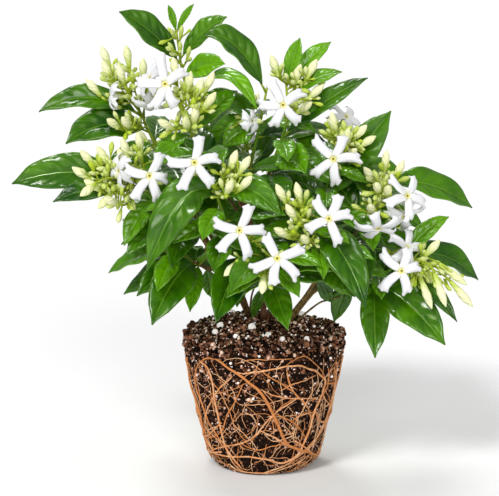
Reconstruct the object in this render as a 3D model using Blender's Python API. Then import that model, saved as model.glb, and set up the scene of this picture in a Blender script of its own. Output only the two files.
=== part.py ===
"""A flowering star jasmine, lifted out of its pot and standing on its own root ball.

Metres, +Z up. The origin is the centre of the root ball's foot, and the viewer of the reference
photograph looks from -Y. What the photograph shows is placed by its column and row there, with the
distance in millimetres that it stands forward of the plant's axis. The rest follows a rule.
"""

import math

import bmesh
import bpy
from mathutils import Matrix, Vector
from mathutils.bvhtree import BVHTree
from mathutils.noise import noise

# Driving dimensions
BALL_RIM_RADIUS = 0.0445
BALL_FOOT_RADIUS = 0.0285
BALL_RIM_HEIGHT = 0.070
BALL_DOME = 0.0125
LEAF_THICKNESS = 0.0010
LEAF_FOLD = 0.28
PETAL_THICKNESS = 0.0007
PETAL_WIDTH = 0.0058
HUB_RADIUS = 0.0029
HUB_HALF_SIDE = math.radians(25)
TUBE_RADIUS = 0.0009
TUBE_LENGTH = 0.0090
BUD_LENGTH = 0.0125
BUD_RADIUS = 0.0021
STALK_RADIUS = 0.0005
GREEN_STEM_RADIUS = 0.0010
WOODY_STEM_RADIUS = 0.0021
ROOT_RADIUS = 0.0009
SEAT_GAP = 0.0003
STEM_FOOT_HEIGHT = BALL_RIM_HEIGHT - 0.004
HOLE_PLAY = 0.0010
HOLE_FLARE = 0.0036
PERLITE_RADIUS = 0.0021
ROOT_STEP = 0.0078
ROOT_FLOOR_GAP = 0.0012
ROOT_OFF_SOIL = 0.0008
BRANCH_RADIUS = 0.0012
CALYX_RADIUS = 0.0012
CLEARANCE = 0.00035

# The photograph's frame and the place it was taken from
PHOTO_COLUMNS = 499
PHOTO_ROWS = 496
CAMERA = Vector((-0.0081, -0.940, 0.298))
CAMERA_PITCH = math.radians(10.6)
LENS_TO_SENSOR = 125 / 36

# Woody stems, as columns and rows of the photograph with millimetres forward, foot first
WOODY_STEMS = {
    "centre": [(264, 322, 0), (262, 290, 6), (258, 262, 8), (250, 235, 4), (245, 212, 0)],
    "left": [(249, 318, -10), (240, 292, -10), (222, 268, -6), (206, 248, 0)],
    "right": [(290, 320, 4), (304, 300, 8), (322, 284, 8), (338, 270, 6)],
}
# Leafy shoots: the woody stem that bears it, how far up that, and the way that it takes
SHOOTS = {
    "left_low": ("left", 0.86, [(206, 268, 12), (190, 260, 22), (176, 252, 28), (160, 248, 32)]),
    "left_mid": ("left", 0.97, [(198, 234, 6), (175, 214, 12), (150, 196, 18), (126, 180, 22)]),
    "left_up": ("left", 0.92, [(200, 226, -12), (174, 180, -8), (152, 138, -4), (136, 102, 2)]),
    "top_left": ("centre", 0.74, [(240, 215, 16), (212, 172, 24), (190, 130, 30), (180, 102, 33)]),
    "top": ("centre", 0.9, [(236, 190, -6), (212, 135, -6), (186, 85, 0), (176, 30, 0)]),
    "centre_top": ("centre", 0.99, [(246, 186, 1), (254, 150, 6), (261, 118, 10), (267, 88, 10)]),
    "top_right": ("centre", 0.95, [(262, 192, 14), (276, 155, 18), (287, 118, 22), (286, 80, 20)]),
    "right_up": ("right", 0.8, [(312, 245, 12), (322, 205, 18), (332, 165, 22), (342, 135, 22)]),
    "right_mid": ("right", 0.95, [(344, 250, 10), (360, 226, 18), (374, 204, 22), (388, 180, 24)]),
    "right_low": ("right", 0.99, [(352, 276, 16), (370, 278, 24), (390, 270, 30), (408, 256, 32)]),
    "front_centre": ("centre", 0.32, [(265, 286, 28), (267, 274, 42), (268, 262, 54), (268, 248, 60)]),
    "front_right": ("right", 0.5, [(316, 278, 26), (320, 258, 40), (316, 238, 50), (306, 220, 54)]),
    "front_left": ("centre", 0.55, [(244, 258, 24), (230, 232, 38), (220, 205, 46), (212, 180, 50)]),
    "back_left": ("left", 0.8, [(216, 245, -28), (186, 195, -48), (164, 142, -62)]),
    "back_low_left": ("left", 0.66, [(220, 266, -32), (188, 246, -50), (152, 222, -62)]),
    "back_centre": ("centre", 0.8, [(250, 212, -20), (248, 162, -42), (246, 110, -54)]),
    "back_mid": ("centre", 0.5, [(256, 250, -24), (259, 222, -56), (262, 192, -82)]),
    "back_right": ("right", 0.74, [(324, 250, -18), (338, 198, -40), (346, 142, -54)]),
    "back_low_right": ("right", 0.9, [(346, 262, -16), (368, 245, -40), (390, 226, -56)]),
}
# Blooms whose petal tips show: shoot, stalk's place on it, eye of the bloom, and the five petal tips
OPEN_BLOOMS = {
    "top_left_1": ("top_left", 0.82, (165, 84, 47),
                   [(159, 52), (187, 70), (177, 108), (151, 110), (135, 83)]),
    "top_right_1": ("top_right", 0.72, (283, 105, 38),
                    [(269, 80), (305, 91), (301, 123), (272, 128), (257, 105)]),
    "front_left_1": ("front_left", 0.85, (194.5, 162.6, 66),
                     [(199, 134), (221, 158), (214, 186), (180, 192), (165, 161)]),
    "left_mid_1": ("left_mid", 0.8, (149.6, 175.8, 48),
                   [(161, 151), (169, 180), (159, 201), (133, 201), (123, 167)]),
    "front_centre_1": ("front_centre", 0.8, (239.4, 230.4, 76),
                       [(250, 203), (267, 230), (249, 260), (218, 253), (212, 221)]),
    "front_centre_2": ("front_centre", 0.55, (277.2, 258.4, 82),
                       [(264, 234), (305, 247), (299, 279), (274, 287), (249, 270)]),
    "right_up_1": ("right_up", 0.72, (333.4, 159, 42),
                   [(312, 137), (344, 134), (363, 159), (337, 187), (311, 177)]),
    "front_right_1": ("front_right", 0.9, (328.8, 218.7, 70),
                      [(314, 197), (339, 193), (353, 214), (340, 246), (305, 231)]),
    "right_low_1": ("right_low", 0.8, (401.7, 271, 50),
                    [(380, 250), (408, 246), (421, 266), (408, 295), (380, 292)]),
}
# Blooms seen aslant or hidden: shoot, place on it, eye, heading (0 faces the viewer, 90 faces right),
# rise, first petal's turn and petal length in millimetres
TURNED_BLOOMS = {
    "left_up_1": ("left_up", 0.94, (112, 96, 14), -78, 5, 10, 8),
    "left_up_2": ("left_up", 0.86, (152, 104, 18), 0, -60, 0, 11),
    "top_left_2": ("top_left", 0.92, (150, 78, 30), -55, 30, 0, 11),
    "left_mid_2": ("left_mid", 0.9, (119, 171, 32), -52, 5, 20, 10),
    "centre_top_1": ("centre_top", 0.7, (252, 121, 20), 50, 10, 30, 7),
    "right_up_2": ("right_up", 0.94, (346, 117, -6), 40, 42, 0, 11),
    "right_mid_1": ("right_mid", 0.86, (407, 196, 44), 32, 20, 15, 14),
    "right_mid_2": ("right_mid", 0.62, (404, 216, 48), 30, -35, 50, 14),
    "right_mid_3": ("right_mid", 0.4, (378, 228, 52), 8, -48, 0, 13),
    "right_low_2": ("right_low", 0.8, (407, 248, 45), 30, 20, 30, 12),
    "back_left_1": ("back_left", 0.97, (162, 150, -76), 200, 25, 0, 14),
    "back_left_2": ("back_left", 0.7, (150, 165, -70), 235, 5, 30, 15),
    "back_low_left_1": ("back_low_left", 0.95, (140, 212, -76), 215, 10, 10, 15),
    "back_centre_1": ("back_centre", 0.97, (252, 122, -68), 175, 30, 20, 14),
    "back_centre_2": ("back_centre", 0.7, (238, 150, -72), 190, 10, 50, 15),
    "back_mid_1": ("back_mid", 0.97, (266, 184, -100), 170, 15, 0, 15),
    "back_mid_2": ("back_mid", 0.75, (240, 220, -96), 195, -5, 36, 15),
    "back_right_1": ("back_right", 0.97, (350, 150, -70), 160, 25, 15, 14),
    "back_right_2": ("back_right", 0.65, (336, 182, -72), 172, 5, 40, 15),
    "back_low_right_1": ("back_low_right", 0.95, (400, 216, -68), 140, 12, 0, 15),
}
# Leaves that the photograph shows: shoot, place on it, tip, width in millimetres, how far the blade
# turns its face to the viewer (0 lies level, 1 faces the viewer), and arch as a share of its length
SHOWN_LEAVES = [
    ("top", 0.8, (119, 12, 12), 17, 0.6, 0.15),
    ("top", 0.83, (227, 17, 4), 14, 0.5, 0.15),
    ("centre_top", 0.95, (205, 36, 18), 19, 0.45, 0.42),
    ("top", 0.72, (225, 64, 14), 14, 0.8, 0.15),
    ("left_up", 0.88, (39, 112, 12), 16, 0.65, 0.3),
    ("left_up", 0.72, (66, 144, 20), 22, 0.65, 0.3),
    ("left_mid", 0.9, (12, 184, 18), 21, 0.8, 0.2),
    ("left_mid", 0.82, (53, 202, 34), 14, 0.6, 0.15),
    ("front_left", 0.82, (147, 271, 62), 21, 0.9, 0.6),
    ("left_low", 0.1, (137, 296, 40), 17, 0.7, 0.25),
    ("left_low", 0.2, (152, 325, 52), 22, 0.9, 0.28),
    ("left_mid", 0.03, (171, 268, 44), 16, 0.8, 0.3),
    ("left_low", 0.15, (190, 312, 34), 10, 0.7, 0.1),
    ("front_left", 0.04, (216, 322, 66), 19, 0.95, 0.12),
    ("front_centre", 0.3, (288, 330, 72), 14, 0.95, 0.1),
    ("right_low", 0.4, (375, 358, 56), 16, 0.9, 0.12),
    ("right_low", 0.32, (445, 345, 50), 22, 0.85, 0.16),
    ("right_low", 0.97, (478, 280, 14), 18, 0.5, 0.3),
    ("right_low", 0.85, (457, 322, 40), 10, 0.6, 0.15),
    ("right_low", 0.78, (436, 228, 38), 6, 0.8, 0.05),
    ("right_mid", 0.95, (472, 208, 4), 19, 0.6, 0.22),
    ("right_low", 0.8, (449, 217, 34), 10, 0.7, 0.2),
    ("right_up", 0.36, (391, 111, 30), 20, 0.95, 0.04),
    ("top_right", 0.5, (368, 78, 24), 12, 0.6, 0.1),
    ("top_right", 0.97, (300, 38, 20), 9, 0.7, 0.05),
    ("top_right", 0.95, (331, 42, 12), 10, 0.6, 0.1),
    ("top_right", 0.85, (342, 72, 24), 10, 0.5, 0.15),
    ("centre_top", 0.55, (223, 147, 18), 15, 0.9, 0.3),
    ("centre_top", 0.62, (206, 145, 10), 13, 0.8, 0.25),
    ("top", 0.55, (257, 110, 26), 13, 0.35, 0.75),
    ("top_right", 0.35, (306, 173, 46), 18, 0.9, 0.15),
    ("centre_top", 0.15, (293, 169, 26), 11, 0.7, 0.1),
    ("front_left", 0.84, (281, 216, 62), 16, 0.92, 0.42),
    ("front_right", 0.7, (366, 308, 72), 20, 0.88, 0.45),
    ("front_right", 0.35, (355, 297, 56), 18, 0.85, 0.15),
    ("top", 0.99, (168, 5, 4), 4, 0.7, 0.1),
    ("top", 0.99, (194, 4, 4), 4, 0.7, 0.1),
]
# Bud tips that the photograph shows: shoot, place on it, and each bud's tip
SHOWN_BUDS = [
    ("left_up", 0.97, [(101, 46, 8), (126, 45, 6), (102, 60, 12), (143, 58, 6), (118, 64, 16)]),
    ("left_up", 0.85, [(86, 79, 12), (107, 119, 24), (122, 117, 26)]),
    ("left_mid", 0.97, [(80, 150, 22), (72, 167, 26), (97, 146, 24), (118, 148, 28), (84, 180, 34)]),
    ("left_mid", 0.85, [(80, 196, 40), (98, 209, 42), (104, 198, 44), (122, 138, 26), (138, 132, 22)]),
    ("top_left", 0.95, [(191, 71, 34), (203, 78, 36), (214, 72, 30), (216, 92, 38), (173, 57, 28)]),
    ("top_left", 0.75, [(158, 120, 44), (185, 117, 44), (196, 106, 42)]),
    ("top", 0.96, [(171, 29, 4), (182, 25, 4), (168, 42, 6), (180, 41, 8), (190, 46, 6), (173, 58, 8)]),
    ("top_right", 0.96, [(271, 55, 22), (301, 64, 26), (317, 59, 20), (324, 84, 26), (312, 102, 32)]),
    ("right_up", 0.95, [(367, 125, 28), (376, 136, 26), (332, 112, 30), (357, 149, 36), (349, 128, 34)]),
    ("right_mid", 0.94, [(364, 167, 32), (376, 183, 50), (389, 186, 52), (404, 160, 24), (387, 150, 22), (370, 205, 46)]),
    ("right_low", 0.9, [(432, 309, 44), (446, 307, 40), (473, 307, 34), (467, 285, 36), (440, 240, 30)]),
    ("front_left", 0.9, [(237, 150, 56), (250, 156, 54), (252, 176, 58), (232, 180, 64)]),
    ("front_right", 0.92, [(276, 184, 60), (296, 182, 56), (286, 204, 64), (274, 228, 68), (302, 236, 72)]),
    ("front_centre", 0.7, [(224, 276, 74), (262, 294, 82)]),
]
BACK_BUDS_PER_SHOOT = 2
BACK_BUD_SHARE = 0.96
GOLDEN_ANGLE = math.radians(137.5)
BUD_SPACING = 0.05
# Shoots whose buds are smaller than the rest
BUD_SIZES = {"top": 0.6}
BLOOM_REACH = 30
BUD_REACH = 11
RULE_LEAF_SHARES = (0.15, 0.31, 0.46, 0.62, 0.78)
RULE_LEAF_LOWEST_ROW = 302
RULE_LEAF_LENGTH = 0.046
RULE_LEAF_WIDTH_SHARE = 0.4
LEAVES_PER_SHOOT = 10
# The nodes whose pieces only the other solver joins cleanly
BY_MANIFOLD = ("shoot_right_up",)
BACK_SHOOTS = [name for name in SHOOTS if name.startswith("back")]

# Perlite seen in the top of the soil, as columns and rows of the photograph
PERLITE_SEEN = [
    (216, 333), (221, 327), (236, 337), (252, 328), (268, 336), (282, 340), (306, 341), (321, 338),
]
# Roots that the photograph shows on the side of the soil: radius, then the columns and rows it passes
ROOTS_SEEN = [
    (0.0012, [(218, 359), (234, 370), (247, 380), (261, 392), (271, 410), (279, 428), (286, 443), (301, 450),
              (319, 456)]),
    (0.0008, [(248, 373), (262, 371), (279, 368), (295, 365), (308, 368), (319, 375), (323, 382), (319, 397),
              (313, 411), (309, 427), (302, 443), (295, 455), (283, 462), (267, 459), (248, 456), (228, 456),
              (214, 452)]),
    (0.0008, [(202, 360), (210, 368), (215, 385), (217, 404), (222, 424), (226, 444), (233, 456),
              (243, 468)]),
    (0.0007, [(218, 359), (208, 358), (200, 366), (198, 385), (204, 403), (210, 419), (218, 433),
              (224, 446)]),
    (0.0007, [(233, 376), (222, 387), (214, 399), (209, 411), (208, 424)]),
    (0.0007, [(298, 397), (291, 402), (277, 411), (262, 427), (255, 436), (243, 443), (227, 446),
              (212, 451)]),
    (0.0006, [(255, 365), (269, 376), (286, 387), (298, 397), (307, 409), (311, 421)]),
    (0.0006, [(263, 390), (277, 396), (292, 398), (316, 397)]),
    (0.0007, [(332, 366), (332, 385), (328, 405), (320, 428), (309, 443), (300, 452)]),
    (0.0006, [(274, 413), (286, 418), (297, 426), (304, 436)]),
    (0.0007, [(189, 360), (192, 385), (198, 409), (205, 431), (215, 449)]),
]
# Roots round the sides and back: heading in degrees (-90 faces the viewer) and share of the rim's height
ROOTS_ROUND = [
    [(-62, 0.30), (-30, 0.12), (-4, 0.10), (24, 0.16), (52, 0.30), (84, 0.34), (112, 0.24), (140, 0.12),
     (172, 0.10), (200, 0.12), (226, 0.18)],
    [(-36, 0.74), (4, 0.66), (32, 0.56), (64, 0.60), (96, 0.70), (128, 0.66), (160, 0.52), (190, 0.40)],
    [(-12, 0.90), (0, 0.52), (14, 0.26), (10, 0.06)],
    [(30, 0.88), (36, 0.60), (48, 0.34), (60, 0.05)],
    [(70, 0.90), (78, 0.64), (92, 0.40), (88, 0.06)],
    [(110, 0.90), (120, 0.60), (112, 0.34), (128, 0.05)],
    [(150, 0.88), (160, 0.64), (150, 0.40), (160, 0.05)],
    [(196, 0.90), (192, 0.66), (200, 0.40), (188, 0.05)],
    [(-44, 0.52), (-30, 0.40), (-2, 0.44), (28, 0.40), (58, 0.44), (88, 0.50), (120, 0.42), (152, 0.30),
     (182, 0.22), (212, 0.30), (232, 0.44)],
]
# A leaf's rings from its stalk to near its tip: share of its length, half width as a share of its width
SHOWN_LEAF_RINGS = ((0.0, 0.028), (0.13, 0.04), (0.34, 0.43), (0.6, 0.5), (0.85, 0.27))
RULE_LEAF_RINGS = ((0.0, 0.028), (0.15, 0.06), (0.42, 0.5), (0.76, 0.4))
# A petal's outline past the hub: share of its length, width as a share, and skew of its far edge
PETAL_STEPS = ((0.5, 0.76, 0.0), (1.0, 1.0, 0.16))

# Ways that a piece may give way to its neighbours, tried in turn
SHIFTS_FORWARD = [0, 0.004, -0.004, 0.008, -0.008, 0.013, -0.013, 0.018]
RULE_LEAF_TURNS = [
    (math.radians(turn), math.radians(rise), size)
    for size in (1.0, 0.84, 0.7)
    for turn, rise in ((0, 0), (14, 0), (-14, 0), (0, 14), (0, -14), (26, 10), (-26, 10))
]


def view_axes():
    """The photograph's right, up and forward directions."""
    ahead = Vector((0, math.cos(CAMERA_PITCH), -math.sin(CAMERA_PITCH)))
    right = Vector((1, 0, 0))
    return right, right.cross(ahead), ahead


def from_photo(column, row, forward_mm):
    """The point seen at a column and row that stands this far forward of the plant's axis."""
    right, up, ahead = view_axes()
    pixel = 1 / (LENS_TO_SENSOR * PHOTO_COLUMNS)
    ray = ahead + right * (column - PHOTO_COLUMNS / 2) * pixel + up * (PHOTO_ROWS / 2 - row) * pixel
    return CAMERA + ray * ((-forward_mm / 1000 - CAMERA.y) / ray.y)


def to_photo(point):
    """The column and row where a point is seen."""
    right, up, ahead = view_axes()
    seen = point - CAMERA
    scale = LENS_TO_SENSOR * PHOTO_COLUMNS / seen.dot(ahead)
    return PHOTO_COLUMNS / 2 + seen.dot(right) * scale, PHOTO_ROWS / 2 - seen.dot(up) * scale


def along_view(point, shift):
    """The point moved towards the viewer without moving in the photograph."""
    ray = (CAMERA - point).normalized()
    return point + ray * shift


def smooth_point(points, share):
    """The point at a share of the way along a smooth curve through the points."""
    spans = len(points) - 1
    place = min(share * spans, spans - 1e-9)
    index = int(place)
    t = place - index
    start = points[index]
    end = points[index + 1]
    before = points[index - 1] if index else start * 2 - end
    after = points[index + 2] if index + 2 <= spans else end * 2 - start
    bend = 2 * before - 5 * start + 4 * end - after
    twist = 3 * start - before - 3 * end + after
    return 0.5 * (2 * start + (end - before) * t + bend * t * t + twist * t**3)


def smooth_path(points, count):
    return [smooth_point(points, step / (count - 1)) for step in range(count)]


def bezier(controls, share):
    """The point at a share of the way along the curve that these control points pull."""
    points = list(controls)
    while len(points) > 1:
        points = [a.lerp(b, share) for a, b in zip(points, points[1:])]
    return points[0]


def tube_rings(path, radii, sides):
    """Rings of a tube, square to the path at each of its points."""
    rings = []
    across = (path[1] - path[0]).orthogonal()
    for index, (point, radius) in enumerate(zip(path, radii)):
        ahead = path[min(index + 1, len(path) - 1)] - path[max(index - 1, 0)]
        ahead.normalize()
        across = (across - ahead * across.dot(ahead)).normalized()
        turns = [Matrix.Rotation(math.tau * side / sides, 3, ahead) for side in range(sides)]
        rings.append([point + turn @ across * radius for turn in turns])
    return rings


def sweep(rings, tip=None):
    """A closed body extruded from ring to ring, drawn out to a point where there is a tip."""
    mesh = bmesh.new()
    face = mesh.faces.new([mesh.verts.new(point) for point in rings[0]])
    rows = [list(face.verts)]
    for ring in rings[1:]:
        face = extrude_to(mesh, face, ring, len(rows) == 1)
        rows.append(list(face.verts))
    if tip is not None:
        fan = bmesh.ops.poke(mesh, faces=[face])
        fan["verts"][0].co = tip
    face_outwards(mesh)
    return mesh, rows


def face_outwards(mesh):
    """Turns the faces of a closed mesh to point out of it."""
    bmesh.ops.recalc_face_normals(mesh, faces=mesh.faces)
    if mesh.calc_volume(signed=True) < 0:
        bmesh.ops.reverse_faces(mesh, faces=mesh.faces)


def extrude_to(mesh, face, places, keep_first):
    """The face extruded once, its corners moved to the places."""
    made = bmesh.ops.extrude_face_region(mesh, geom=[face])
    if not keep_first:
        bmesh.ops.delete(mesh, geom=[face], context="FACES_ONLY")
    new_face = next(item for item in made["geom"] if isinstance(item, bmesh.types.BMFace))
    for corner, place in zip(new_face.verts, places):
        corner.co = place
    return new_face


def material(name, colour, roughness):
    made = bpy.data.materials.new(name)
    made.use_nodes = True
    shader = made.node_tree.nodes["Principled BSDF"]
    shader.inputs["Base Color"].default_value = (*colour, 1)
    shader.inputs["Roughness"].default_value = roughness
    shader.inputs["Metallic"].default_value = 0
    return made


def object_from(name, mesh, look=None):
    """A scene object that holds a bmesh, which is freed."""
    data = bpy.data.meshes.new(name)
    mesh.to_mesh(data)
    mesh.free()
    if look:
        data.materials.append(look)
    made = bpy.data.objects.new(name, data)
    bpy.context.scene.collection.objects.link(made)
    return made


def fused_object(name, meshes, look, operation="UNION"):
    """One closed body: the first mesh joined with the others, or cut by them."""
    body = object_from(name, meshes[0], look)
    group = bpy.data.collections.new(name + "_others")
    for index, mesh in enumerate(meshes[1:]):
        other = object_from(f"{name}_other_{index}", mesh)
        bpy.context.scene.collection.objects.unlink(other)
        group.objects.link(other)
    boolean = body.modifiers.new("joined", "BOOLEAN")
    boolean.operation = operation
    boolean.operand_type = "COLLECTION"
    boolean.collection = group
    boolean.solver = "MANIFOLD" if name in BY_MANIFOLD else "EXACT"
    graph = bpy.context.evaluated_depsgraph_get()
    joined = bpy.data.meshes.new_from_object(body.evaluated_get(graph))
    body.modifiers.clear()
    body.data = joined
    for other in list(group.objects):
        bpy.data.objects.remove(other)
    bpy.data.collections.remove(group)
    return body


class Neighbours:
    """The pieces placed so far, asked whether a new one runs into them."""

    def __init__(self):
        self.placed = []

    def add(self, node, mesh):
        self.placed.append((node, BVHTree.FromBMesh(mesh), *box_of(mesh)))

    def hit_by(self, mesh, besides=None):
        """Whether the mesh, grown by the clearance, runs into a piece of any node besides this one."""
        grown = mesh.copy()
        grown.normal_update()
        for corner in grown.verts:
            corner.co += corner.normal * CLEARANCE
        tree = BVHTree.FromBMesh(grown)
        low, high = box_of(grown)
        grown.free()
        for node, other, other_low, other_high in self.placed:
            if node == besides:
                continue
            apart = any(low[axis] > other_high[axis] or high[axis] < other_low[axis] for axis in range(3))
            if not apart and tree.overlap(other):
                return True
        return False


def box_of(mesh):
    """The lowest and highest corners of a mesh's box."""
    spots = [corner.co for corner in mesh.verts]
    low = Vector([min(spot[axis] for spot in spots) for axis in range(3)])
    high = Vector([max(spot[axis] for spot in spots) for axis in range(3)])
    return low, high


def ball_radius(height):
    """The root ball's radius at a height: a straight taper with a rounded foot and rim."""
    share = max(0.0, min(1.0, height / BALL_RIM_HEIGHT))
    taper = BALL_FOOT_RADIUS + (BALL_RIM_RADIUS - BALL_FOOT_RADIUS) * share**0.85
    foot = 0.0030 * max(0.0, 1 - height / 0.010) ** 2
    return taper - foot


def soil_relief(turn, height):
    """How far clods stand out of the plug's side."""
    spot = Vector((math.cos(turn), math.sin(turn), height / 0.03)) * 2.6
    return 0.0009 * noise(spot) * min(1.0, height / 0.006)


def soil_side_point(turn, height, lift=0.0):
    """A point on the side of the plug, or held off it."""
    radius = ball_radius(height) + soil_relief(turn, height) + lift
    return Vector((radius * math.cos(turn), radius * math.sin(turn), height))


def soil_top_height(radius, turn):
    """The heaped top of the soil."""
    share = radius / BALL_RIM_RADIUS
    spot = Vector((math.cos(turn) * share, math.sin(turn) * share, 0.3)) * 4.2
    return BALL_RIM_HEIGHT + BALL_DOME * (1 - share**3) + 0.0018 * noise(spot) * share


def potting_soil(look, stem_feet):
    """The pot-shaped plug, with perlite in its top and plain holes for the stems."""
    around = 24
    turns = [math.tau * step / around for step in range(around)]
    levels = [0.0, 0.003] + [BALL_RIM_HEIGHT * step / 7 for step in range(1, 8)]
    rings = [[soil_side_point(turn, level) for turn in turns] for level in levels]
    for share in (0.92, 0.7, 0.4):
        radius = BALL_RIM_RADIUS * share
        rings.append([
            Vector((radius * math.cos(turn), radius * math.sin(turn), soil_top_height(radius, turn)))
            for turn in turns
        ])
    plug, _ = sweep(rings, tip=Vector((0, 0, BALL_RIM_HEIGHT + BALL_DOME)))
    plug_object = fused_object("plug", [plug] + perlite_grains(), look)
    plug = bmesh.new()
    plug.from_mesh(plug_object.data)
    bpy.data.objects.remove(plug_object)
    holes = []
    for foot in stem_feet:
        bottom = Vector((foot.x, foot.y, STEM_FOOT_HEIGHT - SEAT_GAP))
        top = Vector((foot.x, foot.y, BALL_RIM_HEIGHT + BALL_DOME * 2))
        radius = WOODY_STEM_RADIUS + HOLE_PLAY
        holes.append(sweep(tube_rings([bottom, top], [radius, radius + HOLE_FLARE], 6))[0])
    return fused_object("potting_soil", [plug] + holes, look, "DIFFERENCE")


def on_ball(column, row):
    """Where the line of sight first meets the ball, or passes nearest to its side."""
    ray = from_photo(column, row, 0) - CAMERA
    spots = [CAMERA + ray * (0.945 + 0.0005 * step) for step in range(140)]

    def outside(spot):
        radius = math.hypot(spot.x, spot.y)
        over_top = spot.z - soil_top_height(radius, math.atan2(spot.y, spot.x))
        return max(0.0, radius - ball_radius(spot.z), over_top)

    return min(spots, key=lambda spot: outside(spot) * 50 + spot.y)


def perlite_grains():
    """White grains half sunk in the top of the soil: those seen in front, and a few behind."""
    spots = [on_ball(*seen) for seen in PERLITE_SEEN]
    for spot in spots[::3]:
        radius = math.hypot(spot.x, spot.y) * 0.8
        turn = math.atan2(-spot.y, -spot.x)
        height = soil_top_height(radius, turn) + 0.0006
        spots.append(Vector((radius * math.cos(turn), radius * math.sin(turn), height)))
    grains = []
    for index, spot in enumerate(spots):
        size = PERLITE_RADIUS * (1 + 0.25 * math.sin(index * 2.4))
        grain = bmesh.new()
        place = Matrix.Translation(spot) @ Matrix.Rotation(index, 4, "X")
        bmesh.ops.create_icosphere(grain, subdivisions=1, radius=size, matrix=place)
        grains.append(grain)
    return grains


def root_strand(guide, radius):
    """One root through (heading in degrees, height) points, lying just clear of the plug's side."""
    marks = [soil_side_point(math.radians(turn), height) for turn, height in guide]
    reach = sum((b - a).length for a, b in zip(marks, marks[1:]))
    count = max(5, round(reach / ROOT_STEP))
    path = []
    for spot in smooth_path([Vector((turn, height, 0)) for turn, height in guide], count):
        height = max(spot.y, radius + ROOT_FLOOR_GAP)
        path.append(soil_side_point(math.radians(spot.x), height, radius + ROOT_OFF_SOIL))
    radii = [radius * (1 - 0.35 * abs(2 * step / (count - 1) - 1)) for step in range(count)]
    return sweep(tube_rings(path, radii, 3))[0]


def heading_and_height(spot):
    return math.degrees(math.atan2(spot.y, spot.x)), min(spot.z, BALL_RIM_HEIGHT)


def root_net(look):
    """The roots round the plug, joined where they cross."""
    strands = []
    for radius, seen in ROOTS_SEEN:
        strands.append(root_strand([heading_and_height(on_ball(*spot)) for spot in seen], radius))
    for strand in ROOTS_ROUND:
        strands.append(root_strand([(turn, share * BALL_RIM_HEIGHT) for turn, share in strand], ROOT_RADIUS))
    return fused_object("root_net", strands, look)


def woody_path(name):
    """The way of a woody stem, from its foot in the soil's hole."""
    points = [from_photo(*spot) for spot in WOODY_STEMS[name]]
    foot = Vector((points[0].x, points[0].y, STEM_FOOT_HEIGHT))
    return [foot, foot.lerp(points[0], 0.5)] + points


def shoot_points(name):
    return [from_photo(*spot) for spot in SHOOTS[name][2]]


def woody_meshes(name):
    """A woody stem and the short branches that its shoots go on from."""
    path = woody_path(name)
    count = 7
    radii = [WOODY_STEM_RADIUS * (1 - 0.42 * step / (count - 1)) for step in range(count)]
    meshes = [sweep(tube_rings(smooth_path(path, count), radii, 6))[0]]
    for shoot, (bearer, share, _) in SHOOTS.items():
        if bearer != name:
            continue
        points = shoot_points(shoot)
        start = points[0]
        ahead = (smooth_point(points, 0.02) - start).normalized()
        end = start - ahead * SEAT_GAP
        root = smooth_point(path, share * 0.97)
        branch = [root, end - ahead * min(0.006, (end - root).length * 0.5), end]
        meshes.append(sweep(tube_rings(branch, [BRANCH_RADIUS] * 3, 4))[0])
    return meshes


def green_stem_mesh(name):
    points = shoot_points(name)
    ahead = (smooth_point(points, 0.02) - points[0]).normalized()
    count = 6
    path = smooth_path(points, count)
    path.insert(1, path[0] + ahead * 0.001)
    radii = [GREEN_STEM_RADIUS] + [
        GREEN_STEM_RADIUS * (1 - 0.4 * step / (count - 1)) for step in range(count)
    ]
    return sweep(tube_rings(path, radii, 4))[0]


def leaf_mesh(outline, base, tip, width, face_viewer, arch, blade_only=False):
    """An arched blade, folded along its rib, with both faces split into triangles alike."""
    length = (tip - base).length
    middle = (base + tip) / 2 + Vector((0, 0, arch * length))
    outlook = Vector((0, -face_viewer, 1 - face_viewer * 0.75))
    rings = []
    for share, half in outline[1 if blade_only else 0:]:
        centre = bezier([base, middle, tip], share)
        ahead = ((middle - base).lerp(tip - middle, share)).normalized()
        across = ahead.cross(outlook).normalized()
        up = across.cross(ahead).normalized()
        side = across * half * width
        fold = up * half * width * LEAF_FOLD
        thick = up * LEAF_THICKNESS / 2
        rings.append([centre - side + fold, centre + thick, centre + side + fold, centre - thick])
    mesh, rows = sweep(rings, tip)
    split_blade(mesh, rows)
    return mesh


def leaf_try(outline, base, tip, shape):
    """A whole leaf, and its blade alone, which also stays clear of its own shoot."""
    return leaf_mesh(outline, base, tip, *shape), leaf_mesh(outline, base, tip, *shape, True)


def split_blade(mesh, rows):
    """Each four-sided face is split from the rib to the edge further out."""
    place = {corner: (row, side) for row, ring in enumerate(rows) for side, corner in enumerate(ring)}
    for face in list(mesh.faces):
        if len(face.verts) != 4 or len({place[corner][0] for corner in face.verts}) < 2:
            continue
        rib = [corner for corner in face.verts if place[corner][1] % 2]
        edge = [corner for corner in face.verts if not place[corner][1] % 2]
        near = min(rib, key=lambda corner: place[corner][0])
        far = max(edge, key=lambda corner: place[corner][0])
        bmesh.utils.face_split(face, near, far)


def bloom_facing(heading, rise):
    """The direction that a bloom faces: heading 0 is to the viewer, 90 to the right."""
    turn = math.radians(heading)
    lift = math.radians(rise)
    return Vector((math.sin(turn) * math.cos(lift), -math.cos(turn) * math.cos(lift), math.sin(lift)))


def open_bloom_petals(eye, tips):
    """Facing and petal vectors of a bloom whose petal tips are seen: its plane faces the viewer."""
    facing = (CAMERA - eye).normalized()
    petals = []
    for column, row in tips:
        ray = from_photo(column, row, 0) - CAMERA
        hit = CAMERA + ray * ((eye - CAMERA).dot(facing) / ray.dot(facing))
        petals.append(hit - eye)
    return facing, petals


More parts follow.
